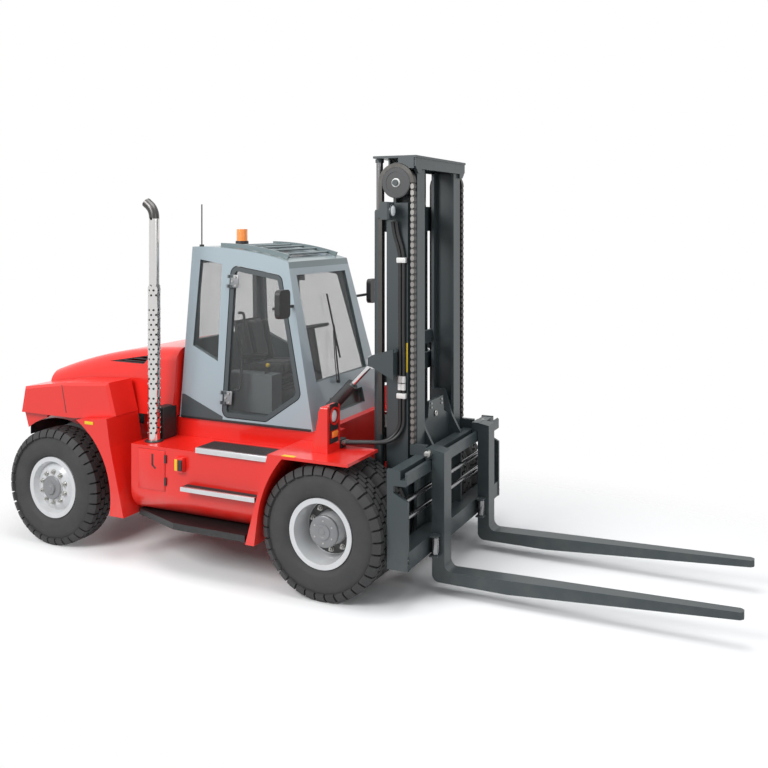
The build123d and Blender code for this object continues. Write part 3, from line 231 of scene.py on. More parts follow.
# %% Paint finishes
def paint(name, colour, deep, gloss, coat, dusty=0.22):
    """Sprayed enamel: colour drifts to deep, dusty near the ground, orange peel in the bump."""
    finish = Finish(name)
    drift = finish.ramp(finish.noise(0.9, 2.0), 0.35, 0.7)
    speck = finish.ramp(finish.noise(55.0, 2.0), 0.62, 0.8)
    low = finish.ramp(finish.axis("Z"), 0.9, 0.25)
    dust = low * finish.ramp(finish.noise(6.0, 5.0, 0.65), 0.4, 0.75) * dusty + speck * 0.015
    shade = finish.mix(drift * 0.35, rgba(*colour), rgba(*deep))
    return finish.set(
        base_color=finish.mix(dust, shade, rgba(0.30, 0.26, 0.22)),
        roughness=gloss + dust * 0.5 + finish.noise(14.0, 3.0) * 0.06,
        coat_weight=coat - dust * coat,
        coat_roughness=0.06,
        normal=finish.bump(finish.noise(240.0, 1.0), 0.05, 0.0006),
    )


red_paint = paint("red_body_paint", (0.74, 0.016, 0.009), (0.64, 0.012, 0.007), 0.28, 0.45)
cab_paint = paint("blue_grey_cab_paint", (0.30, 0.365, 0.40), (0.26, 0.32, 0.355), 0.30, 0.55)
roof_paint = paint("dark_roof_paint", (0.16, 0.205, 0.215), (0.13, 0.17, 0.18), 0.34, 0.4)
mast_paint = paint("dark_mast_paint", (0.034, 0.046, 0.050), (0.027, 0.037, 0.040), 0.40, 0.10, 0.08)
rim_paint = paint("light_grey_rim_paint", (0.60, 0.61, 0.62), (0.54, 0.55, 0.56), 0.28, 0.5)
frame_paint = paint("black_frame_paint", (0.022, 0.023, 0.025), (0.03, 0.03, 0.03), 0.4, 0.3)
seal_paint = paint("dark_cab_trim", (0.035, 0.047, 0.052), (0.03, 0.04, 0.044), 0.42, 0.2)
lining_paint = paint("cab_lining", (0.085, 0.11, 0.115), (0.07, 0.09, 0.095), 0.5, 0.1)
hub_paint = paint("grey_hub_paint", (0.20, 0.205, 0.215), (0.16, 0.165, 0.17), 0.34, 0.35)
print("paints", [m.name for m in bpy.data.materials][-9:])

# %% [markdown]
# ## Bare metal
# Rods are ground and hard chromed, the exhaust is bright stainless, chains are oiled steel and
# the step edges are aluminium. What tells them apart is the scratch direction and how far the
# shine breaks up, so one function takes both.


# %% Metal finishes
EVEN = (1.0, 1.0, 1.0)
DRAWN_UPRIGHT = (6.0, 6.0, 0.4)
ROLLED_UPRIGHT = (4.0, 4.0, 0.5)
ROLLED_LENGTHWISE = (0.3, 6.0, 6.0)


def metal(name, colour, roughness, grain, streak=EVEN, dirt=0.0):
    """Bare metal with a grain that is stretched along one way and dirt in patches."""
    finish = Finish(name)
    lines = finish.noise(grain, 4.0, 0.6, finish.stretched(streak))
    grime = finish.ramp(finish.noise(9.0, 5.0, 0.7), 0.45, 0.75) * dirt
    return finish.set(
        base_color=finish.mix(grime, rgba(*colour), rgba(0.03, 0.026, 0.022)),
        metallic=1.0 - grime * 0.6,
        roughness=roughness + lines * 0.12 + grime * 0.4,
        normal=finish.bump(lines, 0.06, 0.0004),
    )


chrome = metal("chromed_rod", (0.64, 0.64, 0.65), 0.05, 60.0, DRAWN_UPRIGHT)
# A darker copy of the chrome for the lift rods, carriage bars and fork rollers: a painted dark
# reflection, with some real grime.
oiled_rod = metal("oiled_rod", (0.24, 0.24, 0.25), 0.10, 60.0, DRAWN_UPRIGHT, 0.15)
stainless = metal("bright_exhaust_steel", (0.66, 0.65, 0.64), 0.10, 40.0, ROLLED_UPRIGHT, 0.05)
# Dark steel: soot at the pipe's mouth, and painted shade on the pipe inside the guard.
scorched_and_shaded = metal("scorched_exhaust_steel", (0.085, 0.082, 0.080), 0.25, 40.0, ROLLED_UPRIGHT, 0.2)
chain_steel = metal("oiled_chain_steel", (0.23, 0.22, 0.21), 0.30, 90.0, dirt=0.35)
# A darker copy of the chain steel, painted shade for the rear runs and every second layer; its dirt
# patches are real.
chain_back = metal("greased_chain_steel", (0.075, 0.072, 0.068), 0.36, 90.0, dirt=0.4)
bolt_steel = metal("zinc_bolt_steel", (0.46, 0.46, 0.44), 0.28, 120.0, dirt=0.25)
aluminium = metal("step_aluminium", (0.62, 0.63, 0.64), 0.30, 80.0, ROLLED_LENGTHWISE, 0.12)
print("metals", [m.name for m in bpy.data.materials][-8:])

# %% [markdown]
# ## Rubber and plastic
# Tyre rubber is never plain black: it is dusty grey, in patches, with a fine grit. Plastic has
# a leathery moulding grain, for which small cells stand in. Both patterns lie in the space of
# the truck, so they need no unwrapping.


# %% Rubber and plastic finishes
def tread_rubber(name):
    """Gritty rubber with paler dust in patches."""
    finish = Finish(name)
    grit = finish.noise(180.0, 3.0, 0.6)
    dust = finish.ramp(finish.noise(5.0, 5.0, 0.65), 0.35, 0.8)
    return finish.set(
        base_color=finish.mix(dust * 0.5, rgba(0.029, 0.029, 0.030), rgba(0.058, 0.056, 0.054)),
        roughness=0.62 + grit * 0.2,
        normal=finish.bump(grit * 0.4, 0.35, 0.0015),
    )


def moulded(name, colour, roughness, grain=320.0, depth=0.25):
    """Moulded plastic or rubber with a fine leathery grain."""
    finish = Finish(name)
    cells = finish.node(
        "ShaderNodeTexVoronoi", {"feature": "F1"}, {"Vector": finish.place, "Scale": grain}
    )
    scuff = finish.ramp(finish.noise(20.0, 4.0, 0.7), 0.55, 0.8)
    return finish.set(
        base_color=finish.mix(scuff * 0.25, rgba(*colour), rgba(0.12, 0.12, 0.12)),
        roughness=roughness + scuff * 0.1,
        normal=finish.bump(cells, depth, 0.0005),
    )


tyre_rubber = tread_rubber("tyre_rubber")
black_plastic = moulded("black_moulded_plastic", (0.016, 0.016, 0.017), 0.45)
grey_plastic = moulded("grey_cab_plastic", (0.17, 0.195, 0.20), 0.5)
hose_rubber = moulded("hose_rubber", (0.014, 0.014, 0.015), 0.38, 700.0, 0.12)
yellow_plate = moulded("yellow_plate", (0.75, 0.52, 0.01), 0.3, 900.0, 0.05)
white_clamp = moulded("white_hose_clamp", (0.72, 0.72, 0.70), 0.4, 500.0, 0.1)
print("rubber and plastic", [m.name for m in bpy.data.materials][-6:])

# %% [markdown]
# ## Cloth
# The seat is a coarse woven cloth: two sets of threads cross and rise over each other. A sine
# along each axis gives the threads, and their product the weave, on faces that look any way.


# %% Cloth finish
def woven(name, colour, pale, pitch):
    """Coarse upholstery cloth: two sets of threads crossing, with a soft sheen."""
    finish = Finish(name)
    along, across, upward = (finish.sine(finish.axis(axis) * pitch) for axis in "XYZ")
    threads = across * (upward + along) * 0.25 + 0.5
    fuzz = finish.noise(400.0, 3.0, 0.7)
    return finish.set(
        base_color=finish.mix(threads * fuzz, rgba(*colour), rgba(*pale)),
        roughness=0.85,
        sheen_weight=0.3,
        normal=finish.bump(threads + fuzz * 0.5, 0.4, 0.001),
    )


seat_cloth = woven("seat_cloth", (0.016, 0.017, 0.018), (0.06, 0.06, 0.062), 1500.0)
print("cloth", seat_cloth.name)

# %% [markdown]
# ## Glass and lenses
# The cab panes are grey tinted safety glass. A pane this thin bends nothing, so an Alpha below
# one with a sharp clear reflection looks right and stays quick. Lenses are thicker, moulded in
# ribs, and coloured through.


# %% Glass and lens finishes
def pane_glass(name, tint, cover):
    """Thin tinted glass with a faint smear."""
    finish = Finish(name)
    smear = finish.ramp(finish.noise(3.0, 4.0, 0.6), 0.4, 0.8)
    return finish.set(
        base_color=rgba(*tint),
        alpha=smear * 0.03 + cover,
        roughness=smear * 0.04 + 0.015,
        coat_weight=0.4,
    )


def lens(name, colour, glow):
    """Ribbed lens of coloured plastic, a little bright from the light inside it."""
    finish = Finish(name)
    ribs = finish.sine(finish.axis("Z") * 700.0)
    return finish.set(
        base_color=finish.mix(ribs * 0.06 + 0.06, rgba(*colour), rgba(1.0, 0.85, 0.6)),
        emission_color=rgba(*colour),
        emission_strength=glow,
        roughness=0.12,
        coat_weight=1.0,
        normal=finish.bump(ribs, 0.3, 0.001),
    )


cab_glass = pane_glass("grey_tinted_glass", (0.10, 0.105, 0.105), 0.20)
amber_lens = lens("amber_lens", (0.92, 0.24, 0.003), 0.10)
clear_lens = lens("clear_lamp_lens", (0.75, 0.80, 0.84), 0.05)
print("glass", [m.name for m in bpy.data.materials][-3:])

# %% [markdown]
# ## Dressing the carried-over pieces
# Most pieces of the packed model already have their real shape, so they only take a finish.
# A table of finish to node names keeps that readable.

# %% Finishes of the packed pieces
dressing = {
    red_paint: "counterweight hood side_tanks front_fenders rear_fenders chassis_frame headlamps",
    cab_paint: "cab_frame",
    roof_paint: "cab_roof roof_guard",
    seal_paint: "door_left door_right",
    mast_paint: "outer_mast inner_mast carriage_frame fork_left fork_right lift_barrels work_lamps",
    frame_paint: "engine_block drive_axle steer_axle knuckle_left knuckle_right tilt_barrels "
    "chain_sheaves",
    rim_paint: "front_left_rims front_right_rims rear_left_rim rear_right_rim",
    cab_glass: "windscreen cab_windows door_left_glass door_right_glass",
    chrome: "tilt_rods",
    # Lift rods and carriage bars take the darker chrome as a painted dark reflection.
    oiled_rod: "lift_rods carriage_bars",
    stainless: "exhaust_stack",
    chain_steel: "chain_front_runs carriage_rollers",
    # The rear runs behind the mast take the darker chain steel as painted shade.
    chain_back: "chain_rear_runs",
    black_plastic: "cab_fittings steering_column hood_grilles",
    grey_plastic: "cab_console",
    amber_lens: "beacon",
    seat_cloth: "seat",
    hose_rubber: "steps",
}
for finish, names in dressing.items():
    for name in names.split():
        nodes[name].data.materials.clear()
        nodes[name].data.materials.append(finish)
bare = sorted(set(nodes) - {n for names in dressing.values() for n in names.split()})
print("dressed", len(nodes) - len(bare), "left for a new piece", bare)

# %% [markdown]
# ## A small workshop
# New pieces start as a primitive and are shaped in edit mode. An operator works on all that is
# selected, so each helper first selects one piece alone, and it leaves that piece at the origin
# with its place in its mesh.


# %% Starting a piece
def only(piece):
    """Select this piece alone and make it active."""
    bpy.ops.object.select_all(action="DESELECT")
    piece.select_set(True)
    bpy.context.view_layer.objects.active = piece
    return piece


def placed(piece, matrix):
    """Move a piece by a matrix and put that move into its mesh."""
    only(piece)
    piece.matrix_world = matrix
    bpy.ops.object.transform_apply(location=True, rotation=True, scale=True)
    return piece


def started(name):
    """Name the primitive that was just added, with its place put into its mesh."""
    piece = only(bpy.context.object)
    piece.name = piece.data.name = name
    bpy.ops.object.transform_apply(location=True, rotation=True, scale=True)
    return piece


def box(name, size, centre, turn=(0.0, 0.0, 0.0)):
    bpy.ops.object.select_all(action="DESELECT")
    bpy.ops.mesh.primitive_cube_add(size=1, location=centre, rotation=turn, scale=size)
    return started(name)


def rod(name, radius, start, end, sides=24):
    """Round bar between two points."""
    start, end = Vector(start), Vector(end)
    bpy.ops.object.select_all(action="DESELECT")
    bpy.ops.mesh.primitive_cylinder_add(
        vertices=sides,
        radius=radius,
        depth=(end - start).length,
        location=(start + end) / 2,
        rotation=Vector((0, 0, 1)).rotation_difference(end - start).to_euler(),
    )
    return started(name)


print("primitives ready")

# %% [markdown]
# Faces are picked in code, by their place or normal, where a modeller would click on them.
# Blender keeps the choice when it goes into edit mode, so a test on each face is enough. Sharp
# edges are then broken with a bevel, as on every real casting and plate.


# %% Shaping a piece
@contextmanager
def editing(piece, pick=None):
    """Edit mode with the faces that pick chooses selected, or with all of them."""
    only(piece)
    bpy.ops.object.mode_set(mode="EDIT")
    bpy.ops.mesh.select_mode(type="FACE")
    bpy.ops.mesh.select_all(action="DESELECT" if pick else "SELECT")
    bpy.ops.object.mode_set(mode="OBJECT")
    for face in piece.data.polygons if pick else ():
        face.select = pick(face)
    bpy.ops.object.mode_set(mode="EDIT")
    yield
    bpy.ops.object.mode_set(mode="OBJECT")


def modified(piece, kind, **settings):
    """Add a modifier and apply it."""
    only(piece)
    modifier = piece.modifiers.new(kind.lower(), kind)
    for key, value in settings.items():
        setattr(modifier, key, value)
    bpy.ops.object.modifier_apply(modifier=modifier.name)
    return piece


def smooth(piece, angle=35.0):
    only(piece)
    bpy.ops.object.shade_smooth_by_angle(angle=math.radians(angle))
    return piece


def rounded(piece, width, segments=2):
    modified(piece, "BEVEL", width=width, segments=segments, limit_method="ANGLE")
    return smooth(piece)


def rounded_box(name, size, centre, width, turn=(0.0, 0.0, 0.0)):
    return rounded(box(name, size, centre, turn), width)


print("shaping tools ready")

# %% [markdown]
# What repeats is modelled once and copied, and each copy has its own mesh. A mirror turns faces
# inside out, so a mirrored copy has its normals worked out again.


# %% Copying, joining and scrapping
def copied(piece, name, matrix):
    """Copy with its own mesh, moved by a matrix."""
    only(piece)
    bpy.ops.object.duplicate(linked=False)
    twin = placed(bpy.context.object, matrix)
    twin.name = twin.data.name = name
    if matrix.determinant() < 0:
        with editing(twin):
            bpy.ops.mesh.normals_make_consistent(inside=False)
    return twin


def mirrored(piece, name):
    """The same piece on the other side of the truck."""
    return copied(piece, name, Matrix.Scale(-1, 4, (0, 1, 0)))


def joined(pieces, name):
    bpy.ops.object.select_all(action="DESELECT")
    for piece in pieces:
        piece.select_set(True)
    bpy.context.view_layer.objects.active = pieces[0]
    if len(pieces) > 1:
        bpy.ops.object.join()
    pieces[0].name = pieces[0].data.name = name
    return pieces[0]


def scrapped(piece):
    """Delete a pattern once its copies are made."""
    only(piece)
    bpy.ops.object.delete()


print("copying tools ready")

# %% [markdown]
# ## Riding and finish
# Every piece rides on a body of the truck, so that it moves with the mast, a door or a wheel.
# Most trim is there on both sides, so one helper dresses a piece together with its mirror image.

# %% Dressing
slot_finishes = {
    "red_paint": (red_paint,),
    "cab_paint": (cab_paint, roof_paint),
    "mast_paint": (mast_paint,),
    "rim_paint": (rim_paint, hub_paint),
    "frame_paint": (frame_paint, seal_paint),
    "chrome": (chrome, stainless, oiled_rod),
    "steel": (chain_steel, chain_back, scorched_and_shaded, bolt_steel),
    "aluminium": (aluminium,),
    "black_plastic": (black_plastic, hose_rubber),
    "grey_plastic": (grey_plastic,),
    "cloth": (seat_cloth,),
    "glass": (cab_glass, clear_lens),
    "amber": (amber_lens,),
    "tyre": (tyre_rubber,),
}
slot_of = {finish: slot for slot, finishes in slot_finishes.items() for finish in finishes}
other_side = {"left": "right", "right": "left"}


def dressed(piece, finish, body, *replaced):
    """Give a finished piece its material and the body that it rides on."""
    piece.data.materials.clear()
    piece.data.materials.append(finish)
    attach(piece, body)
    finish in slot_of
    if replaced:
        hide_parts(*replaced)
    return piece


def mirror_name(name):
    """The name of the same thing on the other side."""
    return "_".join(other_side.get(word, word) for word in name.split("_"))


def dressed_pair(piece, finish, body="chassis"):
    """Dress a piece and its mirror image on the other side."""
    dressed(mirrored(piece, mirror_name(piece.name)), finish, mirror_name(body))
    return dressed(piece, finish, body)


print("slots", len(slot_finishes))

# %% [markdown]
# ## Lathe
# Hubs, tyres and lenses are turned: points extruded one after the other make a section, and
# spin sweeps it round the Y axis. The piece is then laid along its own axle. A screw modifier
# would do the same, but spin leaves a plain mesh to go on with.


# %% Turned pieces
def turned(name, profile, centre, steps, along="Y"):
    """Spin (radius, along) points about an axle through centre, as on a lathe."""
    bpy.ops.object.select_all(action="DESELECT")
    bpy.ops.mesh.primitive_plane_add(size=0.01, location=(*profile[0], 0.0))
    piece = started(name)
    with editing(piece):
        bpy.ops.mesh.select_mode(type="VERT")
        bpy.ops.mesh.select_all(action="SELECT")
        bpy.ops.mesh.merge(type="CENTER")
        for here, there in zip(profile, profile[1:]):
            step = (there[0] - here[0], there[1] - here[1], 0.0)
            bpy.ops.mesh.extrude_region_move(TRANSFORM_OT_translate={"value": step})
        bpy.ops.mesh.select_all(action="SELECT")
        bpy.ops.mesh.spin(steps=steps, angle=math.tau, center=(0, 0, 0), axis=(0, 1, 0))
        bpy.ops.mesh.select_all(action="SELECT")
        bpy.ops.mesh.remove_doubles(threshold=0.00005)
        bpy.ops.mesh.normals_make_consistent(inside=False)
    lay = {"X": Matrix.Rotation(-math.pi / 2, 4, "Z"), "Z": Matrix.Rotation(math.pi / 2, 4, "X")}
    return placed(piece, Matrix.Translation(centre) @ lay.get(along, Matrix()))


print("lathe ready")

# %% [markdown]
# ## Tube bender
# Pipes and hoses are bent: a curve runs through a few points and a bevel gives it a round wall.
# A curve with a bevel would also do as it is, but the truck's pieces are all meshes, so it is
# converted.


# %% Bent tubes
def smooth_line(points, steps=6):
    """Close points on a smooth curve through the given ones, each stretch a cubic."""
    knots = [Vector(point) for point in points]
    knots = [2 * knots[0] - knots[1], *knots, 2 * knots[-1] - knots[-2]]
    line = []
    for a, b, c, d in zip(knots, knots[1:], knots[2:], knots[3:]):
        slope = c - a
        bend = 2 * a - 5 * b + 4 * c - d
        twist = 3 * b - a - 3 * c + d
        for step in range(steps):
            u = step / steps
            line.append(b + (slope * u + bend * u**2 + twist * u**3) / 2)
    return [*line, knots[-2]]


def walled(name, piece, radius):
    """Give a curve a round wall with closed ends and make it a mesh."""
    piece.data.bevel_depth = radius
    piece.data.bevel_resolution = 3
    piece.data.use_fill_caps = True
    bpy.ops.object.convert(target="MESH")
    return smooth(started(name), 60)


def hose(name, points, radius):
    """Tube on a smooth line through a few points."""
    bpy.ops.object.select_all(action="DESELECT")
    bpy.ops.curve.primitive_bezier_curve_add()
    piece = bpy.context.object
    piece.data.resolution_u = 2
    line = smooth_line(points)
    spline = piece.data.splines[0]
    spline.bezier_points.add(len(line) - len(spline.bezier_points))
    for knot, place in zip(spline.bezier_points, line):
        knot.co = place
        knot.handle_left_type = knot.handle_right_type = "AUTO"
    return walled(name, piece, radius)


print("tube bender ready")

# %% [markdown]
# ## Tyres
# A lift truck tyre has deep lugs: a row of blocks on each shoulder whose grooves run down the
# sidewall, and two staggered rows in the middle. The carcass is spun from its section, then
# the faces of the blocks are picked by angle and band and raised together. Single blocks laid
# round an array would leave gaps at the shoulder.

# %% One tyre
LUGS = 34
STEPS_PER_LUG = 6
LUG_HEIGHT = 0.024
SHOULDER_RADIUS = 0.468
ROW_GROOVE = (0.050, 0.060)
CENTRE_GROOVE = 0.006
TREAD_HALF = 0.098
tyre_low, tyre_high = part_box("rear_right_tyre")
tyre_radius = (tyre_high.z - tyre_low.z) / 2
tyre_half = (tyre_high.y - tyre_low.y) / 2
carcass_radius = tyre_radius - LUG_HEIGHT
sidewall = [
    (0.262, 0.095),
    (0.291, 0.101),
    (0.318, 0.132),
    (0.345, 0.143),
    (0.400, tyre_half - 0.009),
    (0.445, tyre_half - 0.013),
    (0.478, tyre_half - 0.026),
    (carcass_radius - 0.018, tyre_half - 0.040),
]
tread_edges = (TREAD_HALF, ROW_GROOVE[1], ROW_GROOVE[0], CENTRE_GROOVE)
half_section = [*sidewall, *[(carcass_radius, y) for y in tread_edges]]
tyre_section = [*half_section, *[(radius, -y) for radius, y in reversed(half_section)]]


def is_lug(face):
    """Blocks of the tread: every step but one in each pitch, staggered from row to row."""
    x, y, z = face.center
    in_groove = ROW_GROOVE[0] < abs(y) < ROW_GROOVE[1] or abs(y) < CENTRE_GROOVE
    if math.hypot(x, z) < SHOULDER_RADIUS or in_groove:
        return False
    step = int(math.floor(math.atan2(z, x) / math.tau * LUGS * STEPS_PER_LUG + 0.001))
    stagger = 0
    if abs(y) < ROW_GROOVE[0]:
        stagger = 2 if y > 0 else 4
    return (step + stagger) % STEPS_PER_LUG != 0


tyre_pattern = turned("tyre_pattern", tyre_section, (0, 0, 0), LUGS * STEPS_PER_LUG)
with editing(tyre_pattern, is_lug):
    bpy.ops.mesh.extrude_region_shrink_fatten(TRANSFORM_OT_shrink_fatten={"value": LUG_HEIGHT})
smooth(tyre_pattern, 30)
tyre_size = [round(v, 3) for v in tyre_pattern.dimensions]
print("tyre", len(tyre_pattern.data.polygons), "faces", tyre_size)

# %% [markdown]
# The same tyre serves six times. The twin fronts share one piece on each side, since they turn
# as one body.

# %% Six tyres
TWIN_GAP = 0.335
for side, sign in (("left", 1), ("right", -1)):
    outer = axes[f"front_{side}_spin"]
    inner = outer - Vector((0, sign * TWIN_GAP, 0))
    pair = [copied(tyre_pattern, "tyre", Matrix.Translation(centre)) for centre in (outer, inner)]
    twin_tread = joined(pair, f"front_{side}_tread")
    dressed(twin_tread, tyre_rubber, f"front_{side}_wheels", f"front_{side}_tyres")
    rear_place = Matrix.Translation(axes[f"rear_{side}_spin"])
    rear_tread = copied(tyre_pattern, f"rear_{side}_tread", rear_place)
    dressed(rear_tread, tyre_rubber, f"rear_{side}_wheel", f"rear_{side}_tyre")
scrapped(tyre_pattern)
print("tyres on", [n for n in nodes if n.endswith(("tyre", "tyres"))])

# %% [markdown]
# ## Hubs and wheel nuts
# The front rims are deep dishes. A hub cover stands in the middle, and the ring of nuts lies in
# the dark at the bottom of the dish. The rear discs are domed, so their nuts stand in the light.
# A nut is a six-sided rod with its edges broken, on a washer, with the stud standing through it.

# %% One wheel nut
NUTS = 10
nut = rounded(rod("nut", 0.019, (0, 0, 0), (0, 0.022, 0), sides=6), 0.002)
stud = rod("stud", 0.010, (0, 0.0, 0), (0, 0.036, 0), sides=16)
washer = rod("washer", 0.024, (0, 0, 0), (0, 0.004, 0), sides=20)
nut_pattern = joined([nut, stud, washer], "nut_pattern")
print("nut", [round(v, 3) for v in nut_pattern.dimensions])

# %% [markdown]
# The covers are turned from a section of radius and distance from the truck's middle. Nuts and
# cover bolts are copies on a circle, made for the left wheels and mirrored to the right.

# %% Hub covers and nuts on four wheels
front_cover = [
    (0.0, 1.158), (0.016, 1.158), (0.020, 1.153), (0.040, 1.153), (0.044, 1.156), (0.062, 1.156),
    (0.066, 1.148), (0.118, 1.146), (0.130, 1.139), (0.134, 1.121), (0.0, 1.121),
]
rear_cover = [
    (0.0, 1.206), (0.026, 1.206), (0.030, 1.202), (0.054, 1.202), (0.060, 1.184), (0.104, 1.180),
    (0.112, 1.172), (0.114, 1.152), (0.0, 1.152),
]
# A black ring at the bottom of the front dishes, as painted shade under the nuts.
nut_shade_ring = [(0.145, 1.000), (0.148, 1.006), (0.214, 1.006), (0.218, 1.000), (0.145, 1.000)]
# end, body, cover section, (radius, y) of the nuts, (radius, y) of the cover bolts
hub_table = (
    ("front", "front_left_wheels", front_cover, (0.181, 1.004), (0.092, 1.143)),
    ("rear", "rear_left_wheel", rear_cover, (0.146, 1.146), (0.083, 1.149)),
)
COVER_BOLTS = 6


def ring_of(pattern, axle, radius, along, count):
    """Copies of a pattern on a circle about an axle, pushed along it."""
    row = []
    for step in range(count):
        angle = math.tau * (step + 0.5) / count
        spoke = Vector((radius * math.cos(angle), along, radius * math.sin(angle)))
        row.append(copied(pattern, f"ring_{step}", Matrix.Translation(axle + spoke)))
    return row


bolt_pattern = rod("bolt_pattern", 0.008, (0, 0, 0), (0, 0.007, 0), sides=6)
for end, wheel, cover_section, nut_ring, bolt_ring in hub_table:
    axle = axes[f"{end}_left_spin"] * Vector((1, 0, 1))
    cover = smooth(turned(f"{end}_left_hub", cover_section, axle, 48))
    nuts = joined(ring_of(nut_pattern, axle, *nut_ring, NUTS), f"{end}_left_nuts")
    caps = joined(ring_of(bolt_pattern, axle, *bolt_ring, COVER_BOLTS), f"{end}_left_caps")
    dressed_pair(cover, hub_paint, wheel)
    dressed_pair(nuts, bolt_steel, wheel)
    dressed_pair(caps, bolt_steel, wheel)
front_axle = axes["front_left_spin"] * Vector((1, 0, 1))
# The black ring under the front nuts is painted shade at the bottom of the deep dish.
shade_ring = smooth(turned("front_left_nut_bed", nut_shade_ring, front_axle, 48))
dressed_pair(shade_ring, frame_paint, "front_left_wheels")
scrapped(nut_pattern)
scrapped(bolt_pattern)
print("hubs and", 4 * NUTS, "nuts")

# %% [markdown]
# ## Lift chains
# A leaf chain is a stack of figure-eight plates on pins. Two plates make one pitch: one layer
# joins pins 1 and 2, the next joins 2 and 3. One short stack is repeated up the run with an
# array, and what stands over the sheave is cut off.

# %% One stack of chain plates
PITCHES = 80
LAYERS = 5
CHAIN_INNER = 0.546
PLATE_DEPTH = 0.032
PLATE_CORNER = 0.013
PIN_RADIUS = 0.009
PIN_LENGTH = 0.0502
chain_low, chain_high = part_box("chain_front_runs")
pitch = (chain_high.z - chain_low.z) / PITCHES
layer = (chain_high.y - CHAIN_INNER) / LAYERS
chain_x = (chain_low.x + chain_high.x) / 2
chain_y = (chain_high.y + CHAIN_INNER) / 2
plate_size = (PLATE_DEPTH, layer * 0.86, pitch * 1.52)


def chain_plate(row):
    """One plate, with the edges that run along its pins rounded off."""
    y = chain_y + (row - LAYERS // 2) * layer
    z = chain_low.z + pitch * (0.85 + row % 2)
    plate = box("plate", plate_size, (chain_x, y, z))
    with editing(plate):
        bpy.ops.mesh.select_mode(type="EDGE")
        bpy.ops.mesh.select_all(action="DESELECT")
        bpy.ops.object.mode_set(mode="OBJECT")
        for edge in plate.data.edges:
            a, b = (plate.data.vertices[i].co for i in edge.vertices)
            edge.select = abs(a.y - b.y) > layer * 0.5
        bpy.ops.object.mode_set(mode="EDIT")
        bpy.ops.mesh.bevel(offset=PLATE_CORNER, segments=3, affect="EDGES")
    return plate


stack = [chain_plate(row) for row in range(LAYERS)]
for row in range(2):
    pin_end = Vector((chain_x, chain_high.y, chain_low.z + pitch * (0.35 + row)))
    stack.append(rod("pin", PIN_RADIUS, pin_end - Vector((0, PIN_LENGTH, 0)), pin_end, 12))
chain_run = joined(stack, "left_leaf_chain")
print("stack", [round(v, 4) for v in chain_run.dimensions], "pitch", round(pitch, 4))

# %% [markdown]
# Every second layer takes the darker chain steel, a painted shade between the plates, which makes
# the links readable from a distance.

# %% Leaf chains
modified(
    chain_run, "ARRAY", count=PITCHES // 2, use_relative_offset=False, use_constant_offset=True,
    constant_offset_displace=(0.0, 0.0, 2 * pitch),
)
with editing(chain_run):
    bpy.ops.mesh.bisect(
        plane_co=(0, 0, chain_high.z - 0.001), plane_no=(0, 0, 1), clear_outer=True, use_fill=True
    )
smooth(chain_run, 40)
chains = joined([mirrored(chain_run, "right_leaf_chain"), chain_run], "leaf_chains")
dressed(chains, chain_steel, "inner_mast", "chain_front_runs")
# Every second layer takes the darker chain steel as painted shade between the plates.
chains.data.materials.append(chain_back)
for face in chains.data.polygons:
    row = round((abs(face.center.y) - chain_y) / layer) + LAYERS // 2
    face.material_index = row % 2
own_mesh(chains)
print("chain", len(chains.data.polygons), "faces", [round(v, 3) for v in chains.dimensions])

# %% [markdown]
# ## Sheaves
# The chain's sheave turns on a pale bush, and a flat rim guards the chain from slipping off.
# Both are rings, so they are turned from a closed section and mirrored.

# %% Sheave bush and rim
sheave_low, sheave_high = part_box("chain_sheaves")
sheave_centre = (sheave_low + sheave_high) / 2 * Vector((1, 0, 1))
face_y = sheave_high.y
bush_section = [
    (0.016, face_y - 0.004), (0.016, face_y + 0.009), (0.034, face_y + 0.009),
    (0.039, face_y + 0.004), (0.039, face_y - 0.004), (0.016, face_y - 0.004),
]
rim_section = [
    (0.094, face_y - 0.003), (0.094, face_y + 0.003), (0.126, face_y + 0.003),
    (0.130, face_y - 0.003), (0.094, face_y - 0.003),
]
sheave_bush = smooth(turned("left_sheave_hub", bush_section, sheave_centre, 32))
sheave_rim = smooth(turned("left_sheave_rim", rim_section, sheave_centre, 48))
dressed_pair(sheave_bush, white_clamp, "inner_mast")
dressed_pair(sheave_rim, frame_paint, "inner_mast")
print("sheaves at", [round(v, 3) for v in sheave_centre])

# %% [markdown]
# ## Exhaust guard
# A bright pipe stands inside a perforated guard. The guard starts as a plain lathe-turned wall
# cut into even patches; every second patch of every second row is removed, and a subdivision
# rounds both the wall and the holes. Cutting each hole with a boolean would take far longer.

# %% Perforated guard
GUARD_RADIUS = 0.0588
GUARD_HIGH = 2.516
ROWS = 64
COLUMNS = 16
PLAIN_ROWS = (5, 6, 7, 8, 43, 44, 45)
stack_low, stack_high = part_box("exhaust_stack")
pipe_x = stack_high.x - 0.065
pipe_y = stack_low.y + 0.058
guard_low = stack_low.z + 0.006
row_height = (GUARD_HIGH - guard_low) / ROWS
wall = [(GUARD_RADIUS, GUARD_HIGH - step * row_height) for step in range(ROWS + 1)]


def is_hole(face):
    row = int((GUARD_HIGH - face.center.z) / row_height)
    turn = math.atan2(face.center.y - pipe_y, face.center.x - pipe_x) / math.tau
    column = int(math.floor(turn * COLUMNS + 0.001))
    if row % 2 or row in PLAIN_ROWS or row > ROWS - 3:
        return False
    return (column + row // 2) % 2 == 0


pipe_foot = Vector((pipe_x, pipe_y, 0.0))
guard = turned("exhaust_guard", wall, pipe_foot, COLUMNS, "Z")
with editing(guard, is_hole):
    bpy.ops.mesh.delete(type="FACE")
modified(guard, "SUBSURF", levels=1)
modified(guard, "SOLIDIFY", thickness=0.0025, offset=-1.0)
smooth(guard, 60)
dressed(guard, stainless, "chassis", "exhaust_stack")
print("guard", len(guard.data.polygons), "faces")

